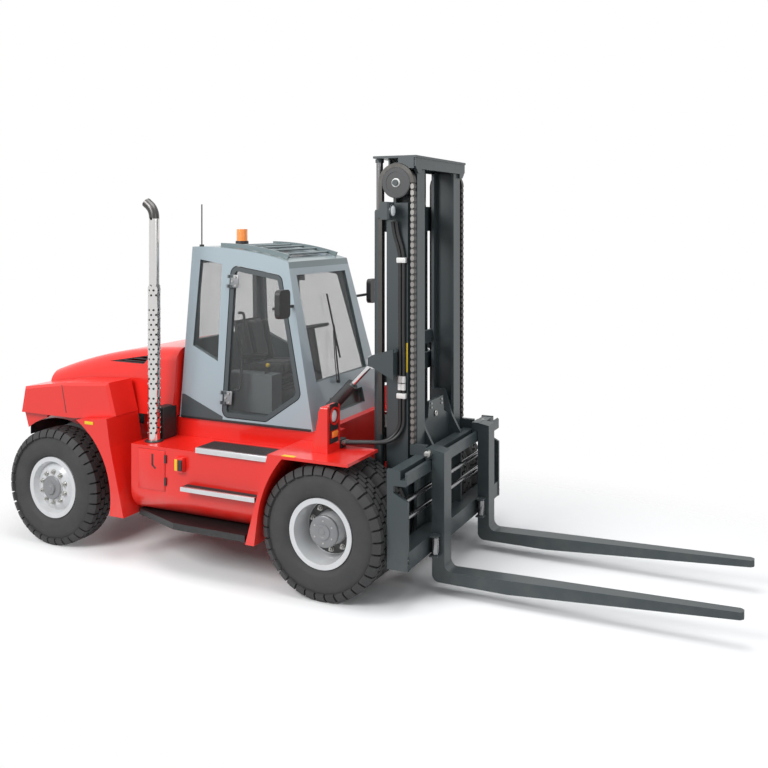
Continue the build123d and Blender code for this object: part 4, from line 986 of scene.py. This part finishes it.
# %% [markdown]
# ## Exhaust pipe
# The pipe is bent at the top and cut open there, so its end cap is inset and pushed in. It is
# dark inside the guard, as painted shade of the guard, and where soot gathers at the mouth, so
# those faces take a second material. A foot ring and a bracket hold it to the deck.

# %% Pipe, foot and bracket
PIPE_RADIUS = 0.0465
# Below this line, inside the guard, the pipe takes the dark steel as painted shade.
GUARD_SHADE_LINE = GUARD_HIGH - 0.02
BEND_LINE = 3.12
# distance behind the upright pipe, height
bend = [
    (0.0, guard_low), (0.0, 1.8), (0.0, GUARD_SHADE_LINE), (0.0, 3.05), (0.0, BEND_LINE),
    (0.008, 3.172), (0.036, 3.222), (0.092, 3.268),
]
foot_section = [
    (0.047, 1.071), (0.084, 1.071), (0.086, 1.076), (0.082, 1.081), (0.047, 1.081), (0.047, 1.071),
]
pipe = hose("exhaust_pipe", [(pipe_x - back, pipe_y, z) for back, z in bend], PIPE_RADIUS)
with editing(pipe, lambda face: len(face.vertices) > 4 and face.center.z > BEND_LINE):
    bpy.ops.mesh.inset(thickness=0.004)
    bpy.ops.mesh.extrude_region_move(TRANSFORM_OT_translate={"value": (0.06, 0.0, -0.05)})
dressed(pipe, stainless, "chassis")
# Faces inside the guard take the dark steel as painted shade, faces past the bend as soot.
pipe.data.materials.append(scorched_and_shaded)
for face in pipe.data.polygons:
    face.material_index = not GUARD_SHADE_LINE < face.center.z < BEND_LINE
foot = turned("exhaust_foot", foot_section, pipe_foot, 40, "Z")
dressed(smooth(foot), black_plastic, "chassis")
bracket_place = (pipe_x + 0.005, pipe_y + 0.165, 1.222)
bracket = rounded_box("exhaust_bracket", (0.10, 0.20, 0.30), bracket_place, 0.012)
dressed(bracket, black_plastic, "chassis")
print("pipe", [round(v, 3) for v in pipe.dimensions])

# %% [markdown]
# ## Seat
# Foam under cloth is crowned: the faces swell and the edges pull in at the seams. Each cushion
# starts as a rounded block a little too small, is remeshed into even cells and blown up by a
# short cloth simulation. No point may move further than the cap, so the cushion keeps its size.

# %% A cushion
CELL = 0.007
SWELL = 0.014
PRESSURE = 4.0
FRAMES = 20


def cushion(name, size, centre, lean):
    """Padded block, blown up by cloth pressure and leaned back."""
    pad = rounded(box(name, size, (0, 0, 0)), min(size) * 0.32, 3)
    modified(pad, "REMESH", mode="VOXEL", voxel_size=CELL)
    before = [point.co.copy() for point in pad.data.vertices]
    only(pad)
    bpy.ops.object.modifier_add(type="CLOTH")
    cloth = pad.modifiers[-1]
    cloth.settings.use_pressure = True
    cloth.settings.uniform_pressure_force = PRESSURE
    cloth.settings.effector_weights.gravity = 0.0
    for step in range(FRAMES):
        bpy.context.scene.frame_set(step + 1)
    bpy.ops.object.modifier_apply(modifier=cloth.name)
    bpy.context.scene.frame_set(1)
    for point, start in zip(pad.data.vertices, before):
        move = point.co - start
        if move.length > SWELL:
            point.co = start + move * (SWELL / move.length)
    smooth(pad, 80)
    return placed(pad, Matrix.Translation(centre) @ Matrix.Rotation(lean, 4, "Y"))


print("cushion swells by at most", SWELL, "m")

# %% [markdown]
# A seat pan and a back each have a flat pad between two bolsters. The right bolsters are blown
# up and then mirrored, and all pads become one piece.

# %% Seat pads
SEAT_LEAN = math.radians(-2)
BACK_LEAN = math.radians(-13.5)
seat = cushion("seat_cushion", (0.34, 0.27, 0.085), (-0.985, 0.0, 1.665), SEAT_LEAN)
seat_bolster = cushion("seat_bolster", (0.36, 0.075, 0.10), (-0.985, -0.19, 1.672), SEAT_LEAN)
back = cushion("back_cushion", (0.075, 0.27, 0.40), (-1.232, 0.0, 1.925), BACK_LEAN)
back_bolster = cushion("back_bolster", (0.10, 0.07, 0.40), (-1.222, -0.185, 1.90), BACK_LEAN)
left_bolsters = [mirrored(piece, f"{piece.name}_left") for piece in (seat_bolster, back_bolster)]
seat_pads = joined([seat, seat_bolster, back, back_bolster, *left_bolsters], "seat_pads")
dressed(seat_pads, seat_cloth, "chassis", "seat")
print("seat pads", len(seat_pads.data.polygons), "faces")

# %% [markdown]
# The cushions sit in a moulded shell on a bellows and a pedestal. These are plain mouldings, so
# each is a block with its edges rounded, and a bellows is three of them in a stack.

# %% Seat shell
# name, size, centre, edge radius, lean
shell_table = (
    ("pan", (0.44, 0.44, 0.05), (-1.0, 0.0, 1.585), 0.018, 0.0),
    ("back", (0.035, 0.42, 0.44), (-1.292, 0.0, 1.905), 0.014, BACK_LEAN),
    ("bellows_top", (0.36, 0.38, 0.035), (-1.04, 0.0, 1.535), 0.014, 0.0),
    ("bellows_mid", (0.40, 0.42, 0.035), (-1.04, 0.0, 1.495), 0.014, 0.0),
    ("bellows_low", (0.36, 0.38, 0.035), (-1.04, 0.0, 1.455), 0.014, 0.0),
    ("pedestal", (0.34, 0.36, 0.138), (-1.0625, 0.0, 1.37), 0.012, 0.0),
    ("armrest", (0.28, 0.06, 0.05), (-1.06, -0.275, 1.80), 0.02, math.radians(-6)),
)
shell = [
    rounded_box(name, size, centre, edge, (0, lean, 0))
    for name, size, centre, edge, lean in shell_table
]
dressed(joined(shell, "seat_shell"), black_plastic, "chassis")
print("seat shell of", len(shell_table), "mouldings")

# %% [markdown]
# ## Levers
# Three short levers stand on the console at the driver's right hand, and the first has a yellow
# knob. One lever is made and copied twice.

# %% Levers on the side console
LEVER_GAP = 0.035
lever = rod("lever", 0.007, (-0.86, -0.40, 1.655), (-0.83, -0.40, 1.735), 12)
levers = [copied(lever, "lever", Matrix.Translation((0, LEVER_GAP * i, 0))) for i in (1, 2)]
dressed(joined([lever, *levers], "console_levers"), black_plastic, "chassis")
bpy.ops.object.select_all(action="DESELECT")
bpy.ops.mesh.primitive_uv_sphere_add(
    segments=20, ring_count=12, radius=0.021, location=(-0.828, -0.40, 1.742)
)
dressed(smooth(started("console_knob")), yellow_plate, "chassis")
print("levers", 1 + len(levers))

# %% [markdown]
# ## Hoses on the mast
# Two hoses run down the outside of the right mast column, held by white clamps, and turn back
# at the top. They don't move against the mast, so they are bent once and ride on it.

# %% Mast hoses, ferrules and clamps
HOSE_RADIUS = 0.0155
HOSE_GAP = 0.002
COLUMN_SIDE = -0.56
HOSE_X = (0.617, 0.650)
HOSE_LOW = 1.62
FERRULE_LENGTH = 0.055
hose_y = COLUMN_SIDE - HOSE_RADIUS - HOSE_GAP
# distance back, distance out, height
mast_route = [
    (0.0, 0.0, HOSE_LOW), (0.0, 0.0, 1.9), (0.0, 0.0, 2.3), (0.0, 0.0, 2.74),
    (0.012, 0.004, 2.86), (0.045, 0.012, 2.98), (0.062, 0.018, 3.09),
]
mast_hoses, ferrules, clamps = [], [], []
for x in HOSE_X:
    points = [(x - back, hose_y - out, z) for back, out, z in mast_route]
    mast_hoses.append(hose("mast_hose", points, HOSE_RADIUS))
    for z in (1.655, 1.718):
        top = (x, hose_y, z + FERRULE_LENGTH)
        ferrules.append(rod("ferrule", HOSE_RADIUS + 0.004, (x, hose_y, z), top, 20))
for z in (1.605, 2.76):
    clamp_place = (sum(HOSE_X) / 2, hose_y - 0.001, z)
    clamps.append(rounded_box("clamp", (0.086, 0.040, 0.045), clamp_place, 0.006))
dressed(joined(mast_hoses, "mast_hoses"), hose_rubber, "outer_mast")
dressed(joined(ferrules, "hose_ferrules"), white_clamp, "outer_mast")
dressed(joined(clamps, "hose_clamps"), white_clamp, "outer_mast")
print("mast hoses", len(mast_hoses), "clamps", len(clamps))

# %% [markdown]
# Below the last clamp the hoses leave the mast and swing back to a block on the fender, so that
# the mast can tilt. A stiff hose hangs in one round bend, so its route is a spline with a few
# control points.

# %% Free hose loops
BLOCK = Vector((0.20, -0.775, 1.207))
BLOCK_GAP = 0.045
# distance along the way to the block, height
LOOP = [
    (0.0, 1.62), (0.0, 1.53), (0.0, 1.44), (0.0, 1.346), (0.051, 1.258), (0.139, 1.207),
    (0.24, 1.207), (0.345, 1.207),
]


def free_hose(name, points, radius):
    """Tube along a smooth spline with these control points, and the line that it follows."""
    bpy.ops.object.select_all(action="DESELECT")
    bpy.ops.curve.primitive_nurbs_path_add()
    piece = bpy.context.object
    piece.data.resolution_u = 6
    spline = piece.data.splines[0]
    spline.points.add(len(points) - len(spline.points))
    for knot, place in zip(spline.points, points):
        knot.co = (*place, 1.0)
    spline.order_u = 3
    spline.use_endpoint_u = True
    line = [point.co.copy() for point in bpy.data.meshes.new_from_object(piece).vertices]
    return walled(name, piece, radius), line


block_ends = [BLOCK + Vector((0, BLOCK_GAP * share, 0)) for share in (0.5, -0.5)]
for number, (x, end) in enumerate(zip(HOSE_X, block_ends)):
    start = Vector((x, hose_y, HOSE_LOW))
    way = Vector((end.x - start.x, end.y - start.y, 0.0)).normalized()
    points = [Vector((start.x, start.y, height)) + way * along for along, height in LOOP]
    loop, line = free_hose(f"loop_hose_{number}", [*points, end], HOSE_RADIUS)
    loop.data.materials.append(hose_rubber)
    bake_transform(loop)
    length = sum((b - a).length for a, b in zip(line, line[1:]))
    print("loop", number, round(length, 3), "m")

# %% [markdown]
# The block on the fender takes both hoses, each with a hexagon nut.

# %% Hose block and nuts
block_nuts = [
    rod("nut", 0.0205, end - Vector((0.022, 0, 0)), end + Vector((0.012, 0, 0)), 6)
    for end in block_ends
]
dressed(joined(block_nuts, "hose_nuts"), bolt_steel, "chassis")
block_place = (BLOCK.x - 0.05, BLOCK.y, 1.1985)
block = rounded_box("hose_block", (0.06, 0.10, 0.075), block_place, 0.006)
dressed(block, black_plastic, "chassis")
print("block with", len(block_nuts), "nuts")

# %% [markdown]
# ## Yellow strips
# Two plain yellow strips are stuck to the column's side. They are thin plates and not paint, so
# that their edges catch the light.

# %% Plain yellow strips on the column
STRIP_HEIGHT = 0.25
STRIP_THICKNESS = 0.003
strips = [
    box("strip", (width, STRIP_THICKNESS, STRIP_HEIGHT), (x, COLUMN_SIDE - 0.0005, z))
    for width, x, z in ((0.010, 0.5975, 2.12), (0.015, 0.6745, 1.93))
]
dressed(rounded(joined(strips, "column_strips"), 0.001), yellow_plate, "outer_mast")
print("strips", len(strips))

# %% [markdown]
# ## Inside of the cab
# The cab is pale outside and dark inside, and the dark lining turns out through every window
# edge as its rubber seal. A face belongs to the lining when it looks towards the cab's middle.

# %% Dark lining and window seals
CAB_MIDDLE = Vector((-0.86, 0.0, 2.02))
cab_mesh = nodes["cab_frame"].data
cab_mesh.materials.append(lining_paint)
lined = 0
for face in cab_mesh.polygons:
    if face.normal.dot((face.center - CAB_MIDDLE).normalized()) < 0.02:
        face.material_index = 1
        lined += 1
roof_mesh = nodes["cab_roof"].data
roof_mesh.materials.append(cab_paint)
for face in roof_mesh.polygons:
    if abs(face.normal.y) > 0.8 or face.normal.x < -0.8:
        face.material_index = 1
print("lining", lined, "of", len(cab_mesh.polygons), "faces")

# %% [markdown]
# ## Door fittings
# Hinge plates and a bar inside each door are small, but they carry the scale of the cab. The
# cab walls lean in by a tenth, so a helper gives the wall's face at a height and every fitting
# is set off from it.

# %% Hinges and door bars
CAB_SLOPE = 0.0993
CAB_LEAN = math.atan(CAB_SLOPE)
CAB_FOOT_Y = -0.72
CAB_FOOT_Z = 1.25
HINGE_X = -1.085
HINGE_HEIGHTS = (1.47, 2.535)
HINGE_PROUD = 0.008
BOLT_LENGTH = 0.014


def cab_side(z):
    """Outer face of the right cab wall at a height."""
    return CAB_FOOT_Y + CAB_SLOPE * (z - CAB_FOOT_Z)


hinges, hinge_bolts = [], []
for z in HINGE_HEIGHTS:
    y = cab_side(z) - HINGE_PROUD
    hinges.append(
        rounded_box("hinge", (0.13, 0.010, 0.12), (HINGE_X, y, z), 0.004, (-CAB_LEAN, 0, 0))
    )
    for along, up in ((0.035, 0.04), (0.035, -0.04), (0.0, 0.0)):
        head = Vector((HINGE_X + along, y, z + up))
        hinge_bolts.append(rod("bolt", 0.010, head, head - Vector((0, BOLT_LENGTH, 0)), 6))
dressed_pair(joined(hinges, "right_hinge_plates"), hub_paint, "door_right")
dressed_pair(joined(hinge_bolts, "right_hinge_bolts"), bolt_steel, "door_right")

# x, distance inside the wall, height
bar_route = [
    (-1.06, 0.075, 1.52), (-1.02, 0.115, 1.56), (-1.02, 0.115, 1.9), (-1.02, 0.115, 2.2),
    (-1.06, 0.075, 2.24),
]
door_bar = hose("right_door_bar", [(x, cab_side(z) + inside, z) for x, inside, z in bar_route], 0.013)
dressed_pair(door_bar, black_plastic, "door_right")
print("hinges at", HINGE_HEIGHTS, "bar", [round(v, 3) for v in door_bar.dimensions])

# %% [markdown]
# ## Wiper
# One wiper stands low on the windscreen: a post, an arm with a thin link beside it, and a blade.
# The screen leans back, so a helper gives points at a distance in front of it.

# %% Windscreen wiper
SCREEN_SLOPE = 0.2409
SCREEN_FOOT = (-0.172, 1.33)
BLADE_LENGTH = 0.62


def screen(y, z, out):
    """Point at a distance in front of the windscreen."""
    return Vector((SCREEN_FOOT[0] - (z - SCREEN_FOOT[1]) * SCREEN_SLOPE + out, y, z))


# y, height, distance in front
arm_route = [(-0.16, 1.60, 0.040), (-0.11, 1.80, 0.036), (-0.02, 2.10, 0.030)]
link_route = [(-0.19, 1.60, 0.034), (-0.14, 1.80, 0.032), (-0.05, 2.06, 0.028)]
blade_turn = (0, -math.atan(SCREEN_SLOPE), 0)
wiper = [
    rod("post", 0.014, screen(-0.16, 1.60, 0.016), screen(-0.16, 1.60, 0.045), 16),
    hose("arm", [screen(*point) for point in arm_route], 0.008),
    hose("link", [screen(*point) for point in link_route], 0.005),
    box("blade", (0.012, 0.014, BLADE_LENGTH), screen(-0.02, 2.10, 0.022), blade_turn),
]
dressed(joined(wiper, "windscreen_wiper"), black_plastic, "chassis")
print("wiper blade", BLADE_LENGTH, "m")

# %% [markdown]
# ## Panels and a painted shadow strip
# The cab's rear corner is filled by a dark panel with a slanted top. It starts as a plate, and
# bisect cuts the slant while the plate still lies at the origin. A black strip along the foot of
# the cab is a painted shadow of the gap under its edge.

# %% Corner panels, painted shadow strip and mirror glass
PANEL_Z = 1.365
SHADOW_STRIP_Z = 1.257
corner_panel = box("right_corner_panel", (0.47, 0.004, 0.20), (0, 0, 0))
with editing(corner_panel):
    bpy.ops.mesh.bisect(
        plane_co=(0, 0, 0.02), plane_no=(0.36, 0, 0.93), clear_outer=True, use_fill=True
    )
panel_place = Matrix.Translation((-1.352, cab_side(PANEL_Z) - 0.001, PANEL_Z))
placed(corner_panel, panel_place @ Matrix.Rotation(-CAB_LEAN, 4, "X"))
dressed_pair(corner_panel, seal_paint)

# A black strip along the foot of each cab wall: a painted shadow of the gap under the cab's edge.
cab_low, cab_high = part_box("cab_frame")
shadow_strip_size = (cab_high.x - cab_low.x - 0.03, 0.010, 0.022)
shadow_strip_x = (cab_low.x + cab_high.x) / 2
shadow_strips = [
    rounded_box("seal", shadow_strip_size, (shadow_strip_x, cab_side(SHADOW_STRIP_Z) * sign, SHADOW_STRIP_Z), 0.003)
    for sign in (1, -1)
]
dressed(joined(shadow_strips, "cab_base_seal"), black_plastic, "chassis")

mirror_glass = rounded_box("right_mirror_glass", (0.004, 0.15, 0.215), (-0.394, -0.88, 2.37), 0.0015)
dressed_pair(mirror_glass, chrome)
print("seal", round(shadow_strip_size[0], 3), "m long")

# %% [markdown]
# ## Lamps
# Each fender carries a lamp post with a round headlamp over an amber indicator, in a dark
# bezel with a sunken face. Work lamps hang high on the mast. Lenses are turned with a low crown,
# because a flat disc would look like a sticker.

# %% Headlamps, indicators, work lamps and bezels
LAMP_Y = 0.93
headlamp_section = [(0.0, 0.010), (0.030, 0.008), (0.052, 0.002), (0.060, -0.008), (0.0, -0.008)]
work_lamp_section = [(0.0, 0.004), (0.040, 0.002), (0.050, -0.004), (0.0, -0.004)]
headlamps, indicators, work_lamps, bezels = [], [], [], []
for sign in (1, -1):
    headlamp_place = Vector((0.1665, LAMP_Y * sign, 1.46))
    headlamps.append(turned("headlamp", headlamp_section, headlamp_place, 32, "X"))
    indicator_place = (0.1795, LAMP_Y * sign, 1.31)
    indicators.append(rounded_box("indicator", (0.012, 0.098, 0.050), indicator_place, 0.005))
    work_lamp_place = Vector((0.6105, 0.70 * sign, 3.18))
    work_lamps.append(turned("work_lamp", work_lamp_section, work_lamp_place, 32, "X"))
    bezel = box("bezel", (0.006, 0.15, 0.33), (0.1695, LAMP_Y * sign, 1.40))
    with editing(bezel, lambda face: face.normal.x > 0.9):
        bpy.ops.mesh.inset(thickness=0.012)
        bpy.ops.mesh.extrude_region_move(TRANSFORM_OT_translate={"value": (-0.003, 0, 0)})
    bezels.append(rounded(bezel, 0.0015))
dressed(smooth(joined(headlamps, "headlamp_lenses")), clear_lens, "chassis")
dressed(joined(indicators, "indicators"), amber_lens, "chassis")
dressed(smooth(joined(work_lamps, "work_lamp_lenses")), clear_lens, "outer_mast")
dressed(joined(bezels, "lamp_bezels"), black_plastic, "chassis")
print("lenses", len(headlamps) + len(indicators) + len(work_lamps))

# %% [markdown]
# The beacon on the roof is an amber dome on a black foot. The dome came with the packed model,
# and the foot is a turned ring around it.

# %% Beacon foot
beacon_low, beacon_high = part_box("beacon")
beacon_section = [
    (0.0555, 2.846), (0.066, 2.846), (0.066, 2.868), (0.0635, 2.897), (0.0555, 2.897), (0.0555, 2.846),
]
beacon_place = Vector(((beacon_low.x + beacon_high.x) / 2, 0, 0))
beacon_foot = smooth(turned("beacon_base", beacon_section, beacon_place, 32, "Z"))
dressed(beacon_foot, black_plastic, "chassis")
print("beacon foot", [round(v, 3) for v in beacon_foot.dimensions])

# %% [markdown]
# ## Steps
# Each step has an aluminium nosing along its edge and black ribs on its tread. The ribs are
# narrow bars spread evenly over the tread. The front face of the step itself is aluminium too,
# so those faces of the packed piece take a second material.

# %% Nosings and ribs
RIB_LENGTH = 0.74
upper_nosing = rounded_box("nosing", (0.756, 0.030, 0.048), (-0.6925, -1.1665, 1.0935), 0.004)
lower_nosing = rounded_box("nosing", (0.766, 0.028, 0.040), (-0.7975, -1.2359, 0.7585), 0.004)
dressed_pair(joined([upper_nosing, lower_nosing], "right_nosings"), aluminium)

# x, y of the tread's middle, width of the tread, height, number of ribs
tread_table = ((-0.6925, -1.04, 0.20, 1.1155, 9), (-0.7975, -1.19, 0.05, 0.7765, 3))
ribs = []
for x, middle, width, z, count in tread_table:
    for step in range(count):
        y = middle + (step / (count - 1) - 0.5) * width
        ribs.append(box("rib", (RIB_LENGTH, 0.010, 0.006), (x, y, z)))
dressed_pair(rounded(joined(ribs, "right_step_ribs"), 0.0015), black_plastic)

step_mesh = nodes["steps"].data
step_mesh.materials.append(aluminium)
bright = 0
for face in step_mesh.polygons:
    if abs(face.normal.y) > 0.9 and abs(face.center.y) > 1.17 and face.center.z > 0.7:
        face.material_index = 1
        bright += 1
print("ribs", sum(row[-1] for row in tread_table), "a side, bright faces", bright)

# %% [markdown]
# ## Filler door
# A door in the tank's side covers the filler. Its face is inset and raised, and behind it lies
# a thin dark sheet that shows as the seam. A finger slot and two hinges are dark blocks.

# %% Filler door and its fittings
DOOR_X = -1.575
DOOR_Z = 0.86
SLOT_Y = -1.159
filler_door = box("filler_door", (0.30, 0.008, 0.36), (DOOR_X, -1.152, DOOR_Z))
with editing(filler_door, lambda face: face.normal.y < -0.9):
    bpy.ops.mesh.inset(thickness=0.006)
    bpy.ops.mesh.extrude_region_move(TRANSFORM_OT_translate={"value": (0, -0.004, 0)})
dressed(rounded(filler_door, 0.0015), red_paint, "chassis")
door_fittings = [
    box("slot", (0.020, 0.006, 0.10), (-1.562, SLOT_Y, 0.955)),
    box("slot", (0.050, 0.006, 0.017), (-1.546, SLOT_Y, 0.892), (0, math.radians(40), 0)),
    box("hinge", (0.022, 0.014, 0.07), (-1.418, -1.154, 0.97)),
    box("hinge", (0.022, 0.014, 0.07), (-1.418, -1.154, 0.77)),
    box("seam", (0.304, 0.0012, 0.364), (DOOR_X, -1.1502, DOOR_Z)),
]
dressed(rounded(joined(door_fittings, "filler_door_fittings"), 0.0004), black_plastic, "chassis")
print("filler door", [round(v, 3) for v in filler_door.dimensions])

# %% [markdown]
# ## Main switch and reflectors
# The main switch sits in a small red box beside the filler door, with a plain yellow plate.
# Yellow reflectors lie on the fenders, one at each end of the truck.

# %% Main switch and reflectors
SWITCH_Z = 0.945
# name, size, x, y, edge radius, finish
switch_table = (
    ("switch_box", (0.085, 0.05, 0.13), -1.245, -1.17, 0.008, red_paint),
    ("main_switch", (0.042, 0.014, 0.095), -1.225, -1.200, 0.005, black_plastic),
    ("switch_plate", (0.028, 0.003, 0.10), -1.272, -1.196, 0.001, yellow_plate),
)
for name, size, x, y, edge, finish in switch_table:
    dressed(rounded_box(name, size, (x, y, SWITCH_Z), edge), finish, "chassis")
reflectors = [
    box("reflector", (0.10, 0.004, 0.028), (-2.235, -1.2405, 1.232)),
    box("reflector", (0.12, 0.045, 0.004), (-0.09, -1.2265, 1.1615)),
]
dressed_pair(rounded(joined(reflectors, "right_reflectors"), 0.0012), yellow_plate)
print("switch parts", len(switch_table), "reflectors", 2 * len(reflectors))

# %% [markdown]
# ## Mud flaps
# A rubber flap hangs behind each rear wheel on a flat hanger, and a liner beside it closes the
# arch towards the frame. Each stays clear of the wheel at full lock. A thin dark strip marks
# where the counterweight meets the fender.

# %% Mud flaps, liners and seams
FLAP_WIDTH = 0.53
FLAP_Y = 0.685
SEAM_TURN = (0, math.radians(-12.3), 0)
flaps, hangers, seams = [], [], []
for sign in (1, -1):
    flap_y = FLAP_Y * sign
    flaps.append(rounded_box("flap", (0.008, FLAP_WIDTH, 0.26), (-3.272, flap_y, 1.098), 0.003))
    liner_place = (-3.1025, 0.455 * sign, 1.0715)
    flaps.append(rounded_box("liner", (0.445, 0.008, 0.313), liner_place, 0.003))
    hanger_place = (-3.240, flap_y, 1.2255)
    hangers.append(rounded_box("hanger", (0.075, FLAP_WIDTH, 0.012), hanger_place, 0.003))
    seams.append(box("seam", (0.008, 0.003, 0.27), (-2.640, 1.1405 * sign, 1.405), SEAM_TURN))
dressed(joined(flaps, "mud_flaps"), hose_rubber, "chassis")
dressed(joined(hangers, "flap_hangers"), frame_paint, "chassis")
dressed(rounded(joined(seams, "counterweight_seams"), 0.0008), frame_paint, "chassis")
print("flaps and liners", len(flaps))

# %% [markdown]
# ## Forks
# A steel roller between two ears at each fork's heel rides on the lower beam, and a pin stands
# out of each hook. Fork and trim slide as one body.

# %% Fork rollers and hook pins
ROLLER_X = 0.985
PIN_X = 0.915
PIN_Z = 1.163
# side, y of the roller, y where the pin starts
fork_table = (("left", 0.44, 0.64), ("right", -0.68, -0.64))
for side, y, hook in fork_table:
    fork = f"fork_{side}"
    roller = rod(f"{fork}_roller", 0.032, (ROLLER_X, y, 0.345), (ROLLER_X, y, 0.485), 28)
    ears = [rounded_box("ear", (0.075, 0.082, 0.016), (0.980, y, z), 0.004) for z in (0.335, 0.495)]
    ears.append(rod("axle", 0.012, (ROLLER_X, y, 0.322), (ROLLER_X, y, 0.512), 16))
    pin = rod("pin", 0.027, (PIN_X, hook, PIN_Z), (PIN_X, hook * 1.094, PIN_Z), 28)
    cap = rod("cap", 0.012, (PIN_X, hook, PIN_Z), (PIN_X, hook * 1.1, PIN_Z), 6)
    dressed(joined([rounded(pin, 0.003), cap], f"{fork}_pin"), bolt_steel, fork)
    dressed(rounded(roller, 0.003), oiled_rod, fork)
    dressed(joined(ears, f"{fork}_ears"), mast_paint, fork)
print("forks", [row[0] for row in fork_table])

# %% [markdown]
# ## Carriage
# The centre plate is bolted to the carriage, and a lifting eye stands in its middle. The heads
# are six-sided rods.

# %% Carriage bolts and eye
# radius, x of both ends, distance to each side, heights
bolt_table = (
    (0.011, (0.712, 0.722), 0.12, (1.43, 1.465)),
    (0.014, (0.935, 0.9355), 1.115, (0.40, 0.44)),
)
bolts = []
for radius, (start_x, end_x), out, heights in bolt_table:
    for y in (-out, out):
        for z in heights:
            bolts.append(rod("bolt", radius, (start_x, y, z), (end_x, y, z), 6))
dressed(joined(bolts, "carriage_bolts"), bolt_steel, "carriage")
bpy.ops.object.select_all(action="DESELECT")
bpy.ops.mesh.primitive_torus_add(
    major_radius=0.020, minor_radius=0.007, major_segments=28, minor_segments=10,
    location=(0.720, -0.02, 1.36), rotation=(0, math.pi / 2, 0),
)
dressed(smooth(started("carriage_eye")), bolt_steel, "carriage")
print("carriage bolts", len(bolts))

# %% [markdown]
# ## Floor
# The photograph is a studio cut-out: white all round, with a soft shadow under the truck. The
# floor is pale and fades out in an oval far away, so no horizon shows.

# %% Floor
FADE = (1.5, 3.4)
bpy.ops.object.select_all(action="DESELECT")
bpy.ops.mesh.primitive_plane_add(size=60, location=(0, 0, 0))
floor = started("studio_floor")
floor_white = Finish("floor_white")
oval = floor_white.stretched((0.55, 1.0, 1.0))
distance = floor_white.node("ShaderNodeVectorMath", {"operation": "LENGTH"}, {0: oval}, out="Value")
floor_white.set(base_color=rgba(0.93, 0.93, 0.93), roughness=0.9)
pale = Value(floor_white, floor_white.shader.outputs[0])
clear = floor_white.node("ShaderNodeBsdfTransparent")
faded = floor_white.node(
    "ShaderNodeMixShader", None, {0: floor_white.ramp(distance, *FADE), 1: pale, 2: clear}
)
floor_white.feed(floor_white.tree.nodes["Material Output"].inputs["Surface"], faded)
floor.data.materials.append(floor_white.material)
print("floor fades from", FADE[0], "to", FADE[1], "m")

# %% [markdown]
# ## World
# The world is white to the camera, to glass and to reflections, and only a moderate fill for
# the paint. Light Path tells which ray asks.

# %% White world with a moderate fill
FILL = 0.42
scene = bpy.context.scene
scene.view_settings.view_transform = "Standard"
scene.world = scene.world or bpy.data.worlds.new("studio")
scene.world.use_nodes = True
scene.world.node_tree.nodes.clear()
studio = Web(scene.world.node_tree)
camera_ray, glass_ray, mirror_ray = (
    studio.node("ShaderNodeLightPath", out=f"Is {kind} Ray")
    for kind in ("Camera", "Transmission", "Glossy")
)
straight = studio.node("ShaderNodeMath", {"operation": "MAXIMUM"}, {0: camera_ray, 1: glass_ray})
seen = studio.node("ShaderNodeMath", {"operation": "MAXIMUM"}, {0: straight, 1: mirror_ray})
fill = studio.node("ShaderNodeBackground", None, {"Color": rgba(0.92, 0.96, 1.0), "Strength": FILL})
white = studio.node("ShaderNodeBackground", None, {"Color": rgba(1.0, 1.0, 1.0), "Strength": 1.0})
either = studio.node("ShaderNodeMixShader", None, {0: seen, 1: fill, 2: white})
studio.node("ShaderNodeOutputWorld", None, {"Surface": either})
print("world nodes", len(studio.tree.nodes))

# %% [markdown]
# ## Lamps of the studio
# Three large soft boxes light the truck: a key from the camera's left, one overhead and a weak
# one in front of the forks.

# %% Soft boxes
# name, place, what it points at, size, power
softbox_table = (
    ("key_softbox", (-3.5, -9.0, 7.5), (-0.4, 0.0, 1.2), 5.0, 900.0),
    ("top_softbox", (0.5, -0.5, 9.0), (0.0, 0.0, 1.0), 6.0, 500.0),
    ("front_softbox", (9.0, -3.0, 5.0), (0.5, 0.0, 1.5), 4.0, 90.0),
)
for name, place, target, size, power in softbox_table:
    bpy.ops.object.light_add(type="AREA", location=place)
    softbox = bpy.context.object
    softbox.name = name
    softbox.data.size = size
    softbox.data.energy = power
    aim = Vector(target) - Vector(place)
    softbox.rotation_euler = aim.to_track_quat("-Z", "Y").to_euler()
print("soft boxes", [row[0] for row in softbox_table])

# %% [markdown]
